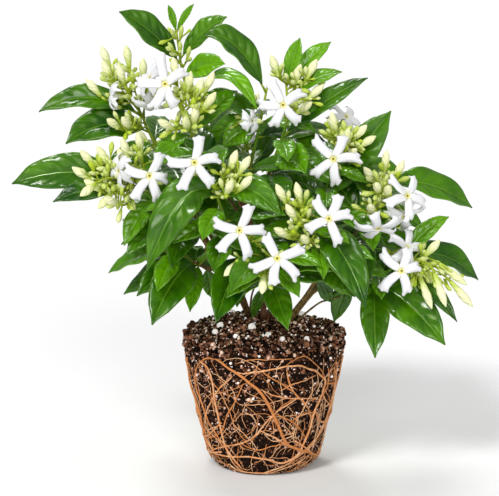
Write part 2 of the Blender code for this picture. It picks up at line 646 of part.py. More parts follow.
def turned_bloom_petals(_, heading, rise, turn, length_mm):
    """Facing and petal vectors of a bloom that is seen aslant or not at all."""
    facing = bloom_facing(heading, rise)
    across = facing.cross(Vector((0, 0, 1))).normalized()
    petals = []
    for index in range(5):
        spin = Matrix.Rotation(math.radians(turn) + math.tau * index / 5, 3, facing)
        petals.append(spin @ across * length_mm / 1000)
    return facing, petals


def bloom_mesh(eye, facing, petals):
    """A tube that opens into a flat hub, with a petal drawn out of every second side of the hub."""
    facing = facing.normalized()
    half = facing * PETAL_THICKNESS / 2
    first = petals[0].normalized()
    order = sorted(petals, key=lambda petal: signed_turn(first, petal, facing) % math.tau)
    rim = []
    for petal in order:
        for side in (-1, 1):
            turn = Matrix.Rotation(side * HUB_HALF_SIDE, 3, facing)
            rim.append(turn @ petal.normalized() * HUB_RADIUS)
    throat = [(0.0028, 0.48), (TUBE_LENGTH, TUBE_RADIUS / HUB_RADIUS)]
    rings = [[eye + half + spot for spot in rim], [eye - half + spot for spot in rim]]
    rings += [[eye - facing * depth + spot * size for spot in rim] for depth, size in throat]
    mesh, rows = sweep(rings)
    for row in rows[2:]:
        for left, right in zip(row[::2], row[1::2]):
            bmesh.ops.pointmerge(mesh, verts=[left, right], merge_co=(left.co + right.co) / 2)
    for index, petal in enumerate(order):
        left, right = 2 * index, 2 * index + 1
        corners = {rows[0][left], rows[0][right], rows[1][left], rows[1][right]}
        face = next(face for face in rows[0][left].link_faces if set(face.verts) == corners)
        marks = [(-1 if corner in (rows[0][left], rows[1][left]) else 1,
                  1 if corner in rows[0] else -1) for corner in face.verts]
        draw_petal(mesh, face, marks, eye, facing, petal)
    face_outwards(mesh)
    return mesh


def signed_turn(start, end, axis):
    return math.atan2(axis.dot(start.cross(end)), start.dot(end))


def draw_petal(mesh, face, marks, eye, facing, petal):
    """Extrudes one side of the hub into a flat petal that widens to a slanting end."""
    across = facing.cross(petal).normalized()
    for share, width, skew in PETAL_STEPS:
        places = []
        for side, front in marks:
            reach = petal * (share - skew * (side + 1) / 2)
            sway = across * side * width * PETAL_WIDTH / 2
            twist = facing * side * width * 0.0007
            places.append(eye + reach + sway + twist + facing * front * PETAL_THICKNESS / 2)
        face = extrude_to(mesh, face, places, False)


def stalk_mesh(shoot, share, eye, facing):
    """The stalk from a shoot to a bloom, ending in a flat calyx just clear of its tube."""
    start = smooth_point(shoot_points(shoot), share)
    end = eye - facing * (TUBE_LENGTH + SEAT_GAP)
    pull = min(0.010, (end - start).length * 0.5)
    controls = [start, start.lerp(end, 0.4) + Vector((0, 0, pull * 0.3)), end - facing * pull, end]
    path = [bezier(controls, step) for step in (0, 0.5, 0.9)] + [end]
    radii = [STALK_RADIUS, STALK_RADIUS, STALK_RADIUS * 1.5, CALYX_RADIUS]
    return sweep(tube_rings(path, radii, 4))[0]


def bud_mesh(start, tip, hangs, size, bud_only=False):
    """A bud on its stalk: a spindle, fullest past its middle, in a small calyx."""
    bias = Vector((0, 0, -0.5 if hangs else 0.4))
    ahead = ((tip - start).normalized() + bias).normalized()
    foot = tip - ahead * BUD_LENGTH * size
    radii = [STALK_RADIUS, STALK_RADIUS * 1.7 * size, BUD_RADIUS * size]
    rings = tube_rings([start, foot, foot.lerp(tip, 0.6)], radii, 4)
    return sweep(rings[1:] if bud_only else rings, tip)[0]


def bud_try(*shape):
    """A whole bud on its stalk, and the bud alone, which also stays clear of its own shoot."""
    return bud_mesh(*shape), bud_mesh(*shape, True)


def back_bud_tip(shoot, index):
    """Where a bud ends that stands round the head of a shoot at the back."""
    points = shoot_points(shoot)
    ahead = (points[-1] - points[-2]).normalized()
    out = Matrix.Rotation(index * GOLDEN_ANGLE, 3, ahead) @ ahead.orthogonal().normalized()
    return points[-1] + (ahead + out * 0.9).normalized() * (BUD_LENGTH + 0.004 + 0.002 * index)


def rule_leaf(shoot, share, side, turn, rise, size):
    """Base and tip of a leaf placed by the plant's own rule: pairs that cross from node to node."""
    points = shoot_points(shoot)
    base = smooth_point(points, share)
    ahead = (smooth_point(points, share + 0.02) - smooth_point(points, share - 0.02)).normalized()
    level = ahead.cross(Vector((0, 0, 1))).normalized()
    quarter = math.pi / 2 * (RULE_LEAF_SHARES.index(share) % 2)
    out = Matrix.Rotation(quarter + turn + 0.35, 3, ahead) @ level * side
    outwards = Vector((base.x, base.y, 0)).normalized()
    droop = Vector((0, 0, -0.35))
    course = (out + ahead * (0.25 + rise) + outwards * 0.35 + droop).normalized()
    return base, base + course * RULE_LEAF_LENGTH * size * (0.82 + 0.18 * math.sin(7 * share + side))


def rule_leaf_tries(shoot, share, side, seen):
    for turn, rise, size in RULE_LEAF_TURNS:
        base, tip = rule_leaf(shoot, share, side, turn, rise, size)
        if to_photo(tip)[1] < RULE_LEAF_LOWEST_ROW and not hides_something(base, tip, seen):
            shape = (RULE_LEAF_WIDTH_SHARE * (tip - base).length, 0.45, 0.16)
            yield leaf_try(RULE_LEAF_RINGS, base, tip, shape)


def hides_something(base, tip, seen):
    """Whether a leaf would stand between the viewer and a bloom or bud that the photograph shows."""
    for share in (0.4, 0.6, 0.8, 1.0):
        spot = base.lerp(tip, share)
        column, row = to_photo(spot)
        for place, seen_column, seen_row, reach in seen:
            if spot.y < place.y + 0.004 and math.hypot(column - seen_column, row - seen_row) < reach:
                return True
    return False


class Plant:
    """Places the pieces one after another, each clear of the rest, shoot by shoot."""

    def __init__(self):
        self.near = Neighbours()
        self.meshes = {name: [] for name in SHOOTS}
        self.leaves = dict.fromkeys(SHOOTS, 0)
        self.blooms = {}
        self.bud_tips = []

    def add_stems(self):
        for shoot in SHOOTS:
            stem = green_stem_mesh(shoot)
            self.near.add(shoot, stem)
            self.meshes[shoot].append(stem)

    def add_blooms(self):
        for name, (shoot, share, spot, tips) in OPEN_BLOOMS.items():
            self.add_bloom(name, shoot, share, from_photo(*spot), open_bloom_petals, [tips])
        for name, (shoot, share, spot, *shape) in TURNED_BLOOMS.items():
            self.add_bloom(name, shoot, share, from_photo(*spot), turned_bloom_petals, shape)

    def add_bloom(self, name, shoot, share, spot, petals_at, shape):
        """A bloom on its stalk, moved along the line of sight until both are clear."""
        for shift in SHIFTS_FORWARD:
            eye = along_view(spot, shift)
            facing, petals = petals_at(eye, *shape)
            bloom = bloom_mesh(eye, facing, petals)
            stalk = stalk_mesh(shoot, share, eye, facing)
            if self.near.hit_by(bloom) or self.near.hit_by(stalk, besides=shoot):
                continue
            self.near.add(name, bloom)
            self.near.add(shoot, stalk)
            self.meshes[shoot].append(stalk)
            self.blooms[name] = (bloom, eye)
            return

    def settle(self, shoot, tries):
        """Keeps the first try that is clear: its whole mesh of other shoots, its outer part of its own."""
        for whole, outer_part in tries:
            if self.near.hit_by(whole, besides=shoot) or self.near.hit_by(outer_part):
                continue
            self.near.add(shoot, whole)
            self.meshes[shoot].append(whole)
            return True
        return False

    def add_shown_leaves(self):
        for shoot, share, spot, width_mm, face_viewer, arch in SHOWN_LEAVES:
            base = smooth_point(shoot_points(shoot), share)
            tips = [along_view(from_photo(*spot), shift) for shift in SHIFTS_FORWARD]
            shape = (width_mm / 1000, face_viewer, arch)
            self.leaves[shoot] += self.settle(
                shoot, (leaf_try(SHOWN_LEAF_RINGS, base, tip, shape) for tip in tips)
            )

    def add_buds(self):
        for shoot, share, spots in SHOWN_BUDS:
            for index, spot in enumerate(spots):
                self.add_bud(shoot, share - BUD_SPACING * index, from_photo(*spot))
        for shoot in BACK_SHOOTS:
            for index in range(BACK_BUDS_PER_SHOOT):
                tip = back_bud_tip(shoot, index)
                self.add_bud(shoot, BACK_BUD_SHARE - BUD_SPACING * index, tip)

    def add_bud(self, shoot, share, tip):
        """A bud that hangs where its tip is lower than its stalk's foot."""
        start = smooth_point(shoot_points(shoot), share)
        hangs = tip.z < start.z
        tips = [along_view(tip, shift) for shift in SHIFTS_FORWARD]
        size = BUD_SIZES.get(shoot, 1.0)
        if self.settle(shoot, (bud_try(start, spot, hangs, size) for spot in tips)):
            self.bud_tips.append(tip)

    def add_rule_leaves(self):
        """Pairs of leaves up each shoot, where they hide no bloom or bud that the viewer sees."""
        shown = [(eye, BLOOM_REACH) for _, eye in self.blooms.values() if eye.y < 0]
        shown += [(tip, BUD_REACH) for tip in self.bud_tips]
        seen = [(place, *to_photo(place), reach) for place, reach in shown]
        for share in RULE_LEAF_SHARES:
            for shoot in SHOOTS:
                for side in (-1, 1):
                    if self.leaves[shoot] < LEAVES_PER_SHOOT:
                        self.leaves[shoot] += self.settle(shoot, rule_leaf_tries(shoot, share, side, seen))


def ball_objects():
    """The soil and the roots on it."""
    soil_look = material("soil", (0.035, 0.020, 0.012), 0.95)
    root_look = material("root", (0.42, 0.20, 0.07), 0.75)
    feet = [woody_path(name)[0] for name in WOODY_STEMS]
    return [potting_soil(soil_look, feet), root_net(root_look)]


def main():
    for old in list(bpy.data.objects):
        bpy.data.objects.remove(old)
    wood_look = material("bark", (0.20, 0.12, 0.06), 0.8)
    leaf_look = material("leaf", (0.035, 0.13, 0.02), 0.35)
    petal_look = material("petal", (0.92, 0.92, 0.86), 0.5)
    plant = Plant()
    for made in ball_objects():
        mesh = bmesh.new()
        mesh.from_mesh(made.data)
        plant.near.add(made.name, mesh)
        mesh.free()
    for name in WOODY_STEMS:
        meshes = woody_meshes(name)
        for mesh in meshes:
            plant.near.add(name, mesh)
        fused_object("woody_stem_" + name, meshes, wood_look)
    plant.add_stems()
    plant.add_blooms()
    plant.add_shown_leaves()
    plant.add_buds()
    plant.add_rule_leaves()
    for name, meshes in plant.meshes.items():
        fused_object("shoot_" + name, meshes, leaf_look)
    for name, (mesh, _) in plant.blooms.items():
        object_from("bloom_" + name, mesh, petal_look)


main()
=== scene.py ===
# %% [markdown]
# # A star jasmine on its own root ball
#
# The plant has been lifted out of its pot, so it stands on a plug of soil that still has the pot's
# shape. Everything here is built around a packed set of plain solids, which say where each piece
# goes. The solids are coarse, so almost every one is replaced by a finer piece in the same place.

# %% Load the solids as a fixed frame
import math
import random

import bmesh
import bpy
from mathutils import Matrix, Vector
from mathutils.kdtree import KDTree
from mathutils.noise import noise


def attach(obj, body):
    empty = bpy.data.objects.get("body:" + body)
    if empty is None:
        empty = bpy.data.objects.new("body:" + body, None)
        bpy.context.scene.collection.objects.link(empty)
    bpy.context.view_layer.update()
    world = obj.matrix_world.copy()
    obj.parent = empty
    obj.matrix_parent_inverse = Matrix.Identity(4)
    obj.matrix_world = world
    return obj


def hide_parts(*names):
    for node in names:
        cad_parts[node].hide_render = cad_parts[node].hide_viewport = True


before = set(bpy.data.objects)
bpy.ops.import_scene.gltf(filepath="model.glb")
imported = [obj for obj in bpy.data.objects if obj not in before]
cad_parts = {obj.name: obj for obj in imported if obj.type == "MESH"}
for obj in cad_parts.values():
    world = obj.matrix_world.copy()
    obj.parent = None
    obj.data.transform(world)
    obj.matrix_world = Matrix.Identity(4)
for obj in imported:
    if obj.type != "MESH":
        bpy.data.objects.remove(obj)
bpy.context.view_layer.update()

# %% [markdown]
# ## Where the photograph was taken from
#
# The picture was taken from almost a metre away with a long lens, tipped down by about ten degrees.
# A long lens keeps the near flowers and the far ones about the same size. The camera comes first,
# because many pieces below are placed by the column and row where the picture shows them.

# %% Camera
PHOTO_COLUMNS = 499
PHOTO_ROWS = 496
CAMERA_PLACE = Vector((-0.0081, -0.940, 0.298))
CAMERA_PITCH = math.radians(10.6)
LENS_MM = 125
SENSOR_MM = 36


def add_camera():
    data = bpy.data.cameras.new("camera")
    data.lens = LENS_MM
    data.sensor_width = SENSOR_MM
    camera = bpy.data.objects.new("camera", data)
    camera.location = CAMERA_PLACE
    camera.rotation_euler = (math.pi / 2 - CAMERA_PITCH, 0, 0)
    bpy.context.scene.collection.objects.link(camera)
    bpy.context.scene.camera = camera
    return camera


camera = add_camera()
print("camera at", tuple(camera.location), "with a lens of", LENS_MM, "mm")

# %% [markdown]
# ## Soft studio light
#
# Glossy leaves need something bright to mirror, and white petals need to keep their shading. Broad
# suns give soft shadows that fall the same way over the whole floor, and the pale world fills what
# they leave dark.

# %% Lights and world
WORLD_STRENGTH = 0.30
SUNS = {
    "key_sun": ((46, 0, -32), 1.7, 14),
    "fill_sun": ((66, 0, 10), 1.15, 26),
    "back_sun": ((-38, 0, 16), 1.3, 20),
}


def add_sun(name, turn_degrees, strength, spread_degrees):
    data = bpy.data.lights.new(name, "SUN")
    data.energy = strength
    data.angle = math.radians(spread_degrees)
    sun = bpy.data.objects.new(name, data)
    sun.rotation_euler = [math.radians(turn) for turn in turn_degrees]
    bpy.context.scene.collection.objects.link(sun)


def light_world():
    world = bpy.data.worlds.new("pale_world")
    world.use_nodes = True
    background = world.node_tree.nodes["Background"]
    background.inputs["Color"].default_value = (1, 1, 1, 1)
    background.inputs["Strength"].default_value = WORLD_STRENGTH
    bpy.context.scene.world = world


for name, sun in SUNS.items():
    add_sun(name, *sun)
light_world()
bpy.context.scene.view_settings.view_transform = "Standard"
print("suns:", list(SUNS))

# %% [markdown]
# ## Helpers that place things by the picture
#
# `from_photo` turns a column and a row into a point, once we say how far forward of the plant's axis
# the thing stands. The curves are the same as in the solids, so the fine pieces follow them.

# %% Points and curves
LENS_TO_SENSOR = LENS_MM / SENSOR_MM


def view_axes():
    """The picture's right, up and forward directions."""
    ahead = Vector((0, math.cos(CAMERA_PITCH), -math.sin(CAMERA_PITCH)))
    right = Vector((1, 0, 0))
    return right, right.cross(ahead), ahead


def sight_line(column, row):
    """The direction in which this column and row are seen."""
    right, up, ahead = view_axes()
    pixel = 1 / (LENS_TO_SENSOR * PHOTO_COLUMNS)
    return ahead + right * (column - PHOTO_COLUMNS / 2) * pixel + up * (PHOTO_ROWS / 2 - row) * pixel


def from_photo(column, row, forward_mm):
    """The point seen at a column and row that stands this far forward of the plant's axis."""
    ray = sight_line(column, row)
    return CAMERA_PLACE + ray * ((-forward_mm / 1000 - CAMERA_PLACE.y) / ray.y)


def to_photo(point):
    """The column and row where a point is seen."""
    right, up, ahead = view_axes()
    seen = point - CAMERA_PLACE
    scale = LENS_TO_SENSOR * PHOTO_COLUMNS / seen.dot(ahead)
    return PHOTO_COLUMNS / 2 + seen.dot(right) * scale, PHOTO_ROWS / 2 - seen.dot(up) * scale


def along_view(point, shift):
    """The point moved towards the viewer without moving in the picture."""
    return point + (CAMERA_PLACE - point).normalized() * shift


def smooth_point(points, share):
    """The point at a share of the way along a smooth curve through the points."""
    spans = len(points) - 1
    place = min(share * spans, spans - 1e-9)
    index = int(place)
    t = place - index
    start = points[index]
    end = points[index + 1]
    before = points[index - 1] if index else start * 2 - end
    after = points[index + 2] if index + 2 <= spans else end * 2 - start
    bend = 2 * before - 5 * start + 4 * end - after
    twist = 3 * start - before - 3 * end + after
    return 0.5 * (2 * start + (end - before) * t + bend * t * t + twist * t**3)


def even_shares(count):
    """Evenly spaced shares of a way, from 0 to 1."""
    return [step / (count - 1) for step in range(count)]


def smooth_path(points, count):
    return [smooth_point(points, share) for share in even_shares(count)]


def bezier(controls, share):
    """The point at a share of the way along the curve that these control points pull."""
    points = list(controls)
    while len(points) > 1:
        points = [a.lerp(b, share) for a, b in zip(points, points[1:])]
    return points[0]


def between(table, share):
    """A value read off a table of (share, value) rows, with straight lines between them."""
    for (near, low), (far, high) in zip(table, table[1:]):
        if share <= far:
            return low + (high - low) * (share - near) / (far - near)
    return table[-1][1]


picture_middle = from_photo(PHOTO_COLUMNS / 2, PHOTO_ROWS / 2, 0)
print("the picture's middle at the plant's axis:", tuple(round(v, 4) for v in picture_middle))

# %% [markdown]
# ## Two ways to shape a grid
#
# Leaves, petals, stems, buds and roots are all one flat grid at first. A leaf bends the grid into a
# blade. A stem rolls it into a tube and welds the seam. Starting from a grid gives every piece a clean
# set of texture coordinates, across and along, which the vein patterns need later.

# %% Sheets and tubes
WELD_DISTANCE = 1e-6


def new_mesh():
    """An empty mesh with room for texture coordinates, and for one number on each corner."""
    mesh = bmesh.new()
    mesh.loops.layers.uv.new("UVMap")
    mesh.verts.layers.float.new("tone")
    return mesh


def weld(mesh):
    """Joins the corners that lie on one another, and turns the faces outwards."""
    bmesh.ops.remove_doubles(mesh, verts=mesh.verts, dist=WELD_DISTANCE)
    bmesh.ops.recalc_face_normals(mesh, faces=mesh.faces)


def sheet(rows, columns):
    """A flat grid, with each corner's share along it and across it."""
    mesh = new_mesh()
    bmesh.ops.create_grid(mesh, x_segments=columns, y_segments=rows, size=1, calc_uvs=True)
    return mesh, [((corner.co.y + 1) / 2, (corner.co.x + 1) / 2) for corner in mesh.verts]


def set_tone(mesh, tone):
    """Stores one number on every corner, which the materials read to vary piece by piece."""
    layer = mesh.verts.layers.float["tone"]
    for corner in mesh.verts:
        corner[layer] = tone
    return mesh


def tube_frames(path):
    """For each point of a path, two directions square to it that don't spin on the way."""
    frames = []
    out = (path[1] - path[0]).orthogonal().normalized()
    for index in range(len(path)):
        ahead = path[min(index + 1, len(path) - 1)] - path[max(index - 1, 0)]
        ahead.normalize()
        out = (out - ahead * out.dot(ahead)).normalized()
        frames.append((out, ahead.cross(out)))
    return frames


def tube(path, radii, sides, tone=0.5):
    """A grid rolled round a path, its seam welded and both ends drawn shut."""
    frames = tube_frames(path)
    path = [path[0]] + list(path) + [path[-1]]
    frames = [frames[0]] + frames + [frames[-1]]
    radii = [0.0] + list(radii) + [0.0]
    mesh, places = sheet(len(path) - 1, sides)
    for corner, (along, around) in zip(mesh.verts, places):
        index = round(along * (len(path) - 1))
        turn = math.tau * around
        out, side = frames[index]
        corner.co = path[index] + (out * math.cos(turn) + side * math.sin(turn)) * radii[index]
    weld(mesh)
    return set_tone(mesh, tone)


trial = tube([Vector((0, 0, 0)), Vector((0, 0, 1)), Vector((0, 0, 2))], [0.1, 0.1, 0.1], 6)
print("a trial tube has", len(trial.faces), "faces, volume", round(trial.calc_volume(), 4))
trial.free()

# %% [markdown]
# ## From meshes to a finished piece
#
# A shoot has dozens of leaves and buds. They are joined into one object, which rides on the frame,
# stands for its coarse solid, and names the material slot that it takes its finish from.

# %% Join meshes into a piece
def piece(name, parts, looks, stands_for):
    """One smooth object made of the parts, in the place of a solid."""
    whole = new_mesh()
    for part in parts:
        step = bpy.data.meshes.new("step")
        part.to_mesh(step)
        part.free()
        whole.from_mesh(step)
        bpy.data.meshes.remove(step)
    data = bpy.data.meshes.new(name)
    whole.to_mesh(data)
    whole.free()
    data.shade_smooth()
    for look in looks:
        data.materials.append(look)
    made = bpy.data.objects.new(name, data)
    bpy.context.scene.collection.objects.link(made)
    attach(made, "root")
    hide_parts(*stands_for)
    return made


def thicken(made, thickness, underside=0):
    """Gives a sheet its thickness, half to each side, with another material below where there is one."""
    wall = made.modifiers.new("thickness", "SOLIDIFY")
    wall.thickness = thickness
    wall.offset = 0.0
    wall.material_offset = underside
    wall.material_offset_rim = underside
    wall.use_even_offset = False


# %% [markdown]
# ## Small tools for materials
#
# A material here is a short chain of nodes. These helpers add a node, do a sum, or mix two colours,
# so that each finish below reads as a recipe.

# %% Node helpers
def add_node(tree, kind, inputs=None, **options):
    """Adds a node, sets its options, and links or sets its inputs."""
    node = tree.nodes.new("ShaderNode" + kind)
    for option, value in options.items():
        setattr(node, option, value)
    for socket, value in (inputs or {}).items():
        if isinstance(value, bpy.types.NodeSocket):
            tree.links.new(value, node.inputs[socket])
        else:
            node.inputs[socket].default_value = value
    return node


def calc(tree, operation, *values, clamp=False):
    inputs = dict(enumerate(values))
    return add_node(tree, "Math", inputs, operation=operation, use_clamp=clamp).outputs[0]


def times(tree, first, second):
    return calc(tree, "MULTIPLY", first, second)


def plus(tree, first, second, clamp=False):
    return calc(tree, "ADD", first, second, clamp=clamp)


def mix(tree, factor, first, second):
    colours = [(*c, 1) if isinstance(c, tuple) else c for c in (first, second)]
    inputs = {0: factor, 6: colours[0], 7: colours[1]}
    return add_node(tree, "Mix", inputs, data_type="RGBA").outputs[2]


def ramp(tree, value, start, end):
    """0 up to the start, 1 from the end on, and smooth between them."""
    inputs = {"Value": value, "From Min": start, "From Max": end}
    return add_node(tree, "MapRange", inputs, interpolation_type="SMOOTHSTEP").outputs[0]


def fade(tree, value, start, end):
    """1 up to the start, 0 from the end on, and smooth between them."""
    return calc(tree, "SUBTRACT", 1.0, ramp(tree, value, start, end))


def bands(tree, value, colour, changes):
    """A colour that turns into another over each change, which is (start, end, colour)."""
    for start, end, following in changes:
        colour = mix(tree, ramp(tree, value, start, end), colour, following)
    return colour


def noise_at(tree, scale, detail=2.0, stretch=None):
    """Noise on object coordinates, with features of about 1 / scale metres."""
    place = add_node(tree, "TexCoord").outputs["Object"]
    if stretch:
        place = add_node(tree, "Mapping", {"Vector": place, "Scale": stretch}).outputs[0]
    inputs = {"Vector": place, "Scale": scale, "Detail": detail}
    return add_node(tree, "TexNoise", inputs).outputs["Fac"]


def new_look(name, roughness, **fixed):
    """A material and its node tree, with the fixed values set on the shader itself."""
    look = bpy.data.materials.new(name)
    look.use_nodes = True
    shader = look.node_tree.nodes["Principled BSDF"]
    shader.inputs["Roughness"].default_value = roughness
    for socket, value in fixed.items():
        shader.inputs[socket.replace("_", " ")].default_value = value
    return look, look.node_tree, shader


def finish_look(tree, shader, colour, height=None, bump=0.5, depth=0.001):
    tree.links.new(colour, shader.inputs["Base Color"])
    if height is not None:
        inputs = {"Height": height, "Strength": bump, "Distance": depth}
        relief = add_node(tree, "Bump", inputs)
        tree.links.new(relief.outputs[0], shader.inputs["Normal"])


def tone_of(tree):
    return add_node(tree, "Attribute", attribute_name="tone").outputs["Fac"]


def uneven_tone(tree, pattern, middle, amount, clamp=False):
    """The number stored on the piece, made uneven by a pattern that swings about its middle."""
    swing = times(tree, calc(tree, "SUBTRACT", pattern, middle), amount)
    return plus(tree, tone_of(tree), swing, clamp=clamp)


def across_and_along(tree):
    split = add_node(tree, "SeparateXYZ", {0: add_node(tree, "UVMap", uv_map="UVMap").outputs[0]})
    return split.outputs[0], split.outputs[1]


def from_middle(tree, across):
    """0 on the middle line of a blade, and 1 on its margins."""
    return times(tree, calc(tree, "ABSOLUTE", calc(tree, "SUBTRACT", across, 0.5)), 2.0)


print("node helpers ready")

# %% [markdown]
# ## Leaf material
#
# The upper face is deep green and waxy. Its pale midrib and arching side veins are pressed in, and the
# blade bulges between them, which breaks the shine into bands. The pattern is drawn from the blade's
# own coordinates: the distance from the rib, and the distance along it less a share of the first, so
# that the veins sweep forwards. The underside is paler and dull, with the veins standing out.

# %% Leaf look
VEIN_PAIRS = 7
VEIN_SWEEP = 0.19
VEIN_CURVE = 1.3
# How far the veins right of the rib lag behind those left of it, as a share of their spacing
VEIN_LAG = 0.4
# How strongly each pale line is drawn over the green
VEIN_STRENGTH = 0.08
RIB_STRENGTH = 0.6
RIM_STRENGTH = 0.35
LEAF_GLOSS = {"Specular_IOR_Level": 0.28, "Specular_Tint": (0.85, 1, 0.5, 1), "Coat_Roughness": 0.14}
LEAF_RELIEF = 0.0011


def between_veins(tree, across, along, side):
    """0 on each side vein, and 0.5 halfway to the next one."""
    lag = times(tree, calc(tree, "GREATER_THAN", across, 0.5), VEIN_LAG)
    sweep = times(tree, calc(tree, "POWER", side, VEIN_CURVE), VEIN_SWEEP)
    count = times(tree, calc(tree, "SUBTRACT", along, sweep), float(VEIN_PAIRS))
    wobble = times(tree, noise_at(tree, 75, 1.0), 1.1)
    return calc(tree, "PINGPONG", plus(tree, plus(tree, count, lag), wobble), 0.5)


def leaf_look(name, dark, light, vein_colour, roughness, bump, coat):
    look, tree, shader = new_look(name, roughness, Coat_Weight=coat, **LEAF_GLOSS)
    across, along = across_and_along(tree)
    side = from_middle(tree, across)
    tent = between_veins(tree, across, along, side)
    vein = times(tree, fade(tree, tent, 0.01, 0.06), fade(tree, side, 0.45, 0.9))
    rib = fade(tree, side, 0.004, 0.024)
    rim = ramp(tree, side, 0.95, 1.0)
    drawn = calc(tree, "MAXIMUM", times(tree, vein, VEIN_STRENGTH), times(tree, rib, RIB_STRENGTH))
    drawn = calc(tree, "MAXIMUM", drawn, times(tree, rim, RIM_STRENGTH))
    green = mix(tree, uneven_tone(tree, noise_at(tree, 70), 0.42, 0.9, clamp=True), dark, light)
    bulge = calc(tree, "POWER", times(tree, tent, 2.0), 0.6)
    pressed_in = times(tree, ramp(tree, side, 0.0, 0.3), bulge)
    height = plus(tree, pressed_in, times(tree, noise_at(tree, 1100), 0.05))
    finish_look(tree, shader, mix(tree, drawn, green, vein_colour), height, bump, LEAF_RELIEF)
    return look


leaf_face = leaf_look(
    "leaf_face", dark=(0.005, 0.062, 0.0002), light=(0.145, 0.40, 0.001), vein_colour=(0.33, 0.58, 0.06),
    roughness=0.30, bump=0.48, coat=0.55
)
leaf_back = leaf_look(
    "leaf_underside", dark=(0.085, 0.26, 0.008), light=(0.20, 0.44, 0.012), vein_colour=(0.30, 0.50, 0.08),
    roughness=0.55, bump=0.3, coat=0.2
)
print("leaf looks:", leaf_face.name, leaf_back.name)

# %% [markdown]
# ## Petal, throat, bud and stem materials
#
# Petals are white with faint lengthwise ribs, and turn yellow-green where they meet the throat. Their
# middle crease and rolled margins are greyed with painted shade. Buds are green when small, and cream
# when they are about to open. Young stems are green, and brown towards the wood.

# %% Petal, bud, throat and stem looks
PETAL_WHITE = (0.85, 0.85, 0.855)
PETAL_GREY = (0.80, 0.80, 0.83)
# Painted shade along the petal's middle crease and its rolled margins
PETAL_SHADE = (0.68, 0.68, 0.75)
PETAL_FOOT = (0.80, 0.80, 0.42)
BUD_GREEN = (0.47, 0.62, 0.022)
BUD_CREAM = (0.90, 0.90, 0.54)
# The olive of the eye, darkened with painted shade where the tube opens
EYE_OLIVE_AND_SHADE = (0.24, 0.23, 0.04)
# The yellow ring, then the cream throat, then the green tube behind
THROAT_CHANGES = (
    (0.10, 0.22, (0.78, 0.73, 0.22)), (0.36, 0.48, (0.80, 0.80, 0.62)), (0.6, 0.75, (0.52, 0.62, 0.20)),
)
STEM_BROWN = (0.13, 0.075, 0.015)
STEM_GREEN = (0.13, 0.29, 0.012)
STEM_YOUNG = (0.34, 0.44, 0.028)


def petal_look():
    look, tree, shader = new_look("petal", 0.6, Specular_IOR_Level=0.3)
    across, along = across_and_along(tree)
    side = from_middle(tree, across)
    white = mix(tree, noise_at(tree, 260), PETAL_WHITE, PETAL_GREY)
    # Painted shade: grey along the middle crease and towards the rolled margins
    crease_shade = times(tree, fade(tree, side, 0.02, 0.2), 0.35)
    shade = calc(tree, "MAXIMUM", crease_shade, ramp(tree, side, 0.7, 1.0))
    white = mix(tree, times(tree, shade, 0.6), white, PETAL_SHADE)
    colour = mix(tree, times(tree, fade(tree, along, 0.0, 0.22), 0.36), white, PETAL_FOOT)
    ribs = calc(tree, "SINE", times(tree, across, 38.0))
    finish_look(tree, shader, colour, plus(tree, ribs, noise_at(tree, 500)), 0.2, 0.0003)
    return look


def bud_look():
    look, tree, shader = new_look("bud", 0.5, Specular_IOR_Level=0.25)
    across, along = across_and_along(tree)
    ripe = times(tree, ramp(tree, along, 0.12, 0.6), tone_of(tree))
    ripe = plus(tree, ripe, times(tree, tone_of(tree), 0.15), clamp=True)
    spiral = calc(tree, "SINE", times(tree, plus(tree, across, along), 31.4))
    finish_look(tree, shader, mix(tree, ripe, BUD_GREEN, BUD_CREAM), spiral, 0.35, 0.0004)
    return look


def throat_look():
    look, tree, shader = new_look("throat", 0.5, Specular_IOR_Level=0.3)
    _, along = across_and_along(tree)
    # The eye's centre is painted dark: partly its olive colour, partly shade in the hollow
    colour = bands(tree, along, EYE_OLIVE_AND_SHADE, THROAT_CHANGES)
    finish_look(tree, shader, colour, noise_at(tree, 900), 0.2, 0.0004)
    return look


def stem_look():
    look, tree, shader = new_look("green_stem", 0.5, Specular_IOR_Level=0.3)
    streaks = noise_at(tree, 120, 3.0, (6, 6, 1))
    age = plus(tree, tone_of(tree), times(tree, streaks, 0.3))
    colour = mix(tree, ramp(tree, age, 0.25, 0.7), STEM_BROWN, STEM_GREEN)
    colour = mix(tree, ramp(tree, tone_of(tree), 0.75, 0.95), colour, STEM_YOUNG)
    finish_look(tree, shader, colour, streaks, 0.4, 0.0006)
    return look


petal = petal_look()
bud = bud_look()
throat = throat_look()
green_stem = stem_look()
print("flower looks:", petal.name, bud.name, throat.name, green_stem.name)

# %% [markdown]
# ## Bark, roots, soil and perlite materials
#
# The wood is reddish brown with fine streaks and pale pores. Roots are tan to orange. The soil is dark
# peat, and each crumb gets its own brown from the number stored on it. Perlite is off-white and rough,
# with painted shade in its pits and a faint painted glow that brightens it under the leaves.

# %% Bark, root, soil and perlite looks
BARK_DARK = (0.08, 0.035, 0.014)
BARK_RED = (0.36, 0.16, 0.07)
BARK_GREENISH = (0.34, 0.27, 0.08)
BARK_PORES = (0.42, 0.30, 0.18)
ROOT_BROWN = (0.22, 0.058, 0.010)
# Tan, then straw
ROOT_CHANGES = ((0.0, 0.65, (0.66, 0.25, 0.075)), (0.6, 1.05, (0.90, 0.58, 0.34)))
PEAT_BLACK = (0.008, 0.003, 0.001)
# Brown, then the pale fibres
PEAT_CHANGES = ((0.08, 0.8, (0.36, 0.145, 0.075)), (0.68, 0.98, (0.98, 0.72, 0.58)))
# Painted shade: the grains' colour in their pits, darker where the surface dips
PERLITE_PIT_SHADE = (0.88, 0.74, 0.71)
PERLITE_WHITE = (1.0, 0.93, 0.91)
# Painted light: a faint white glow that brightens the grains where the leaves shade them
PERLITE_PAINTED_GLOW = {"Emission_Color": (1, 0.96, 0.93, 1), "Emission_Strength": 0.32}


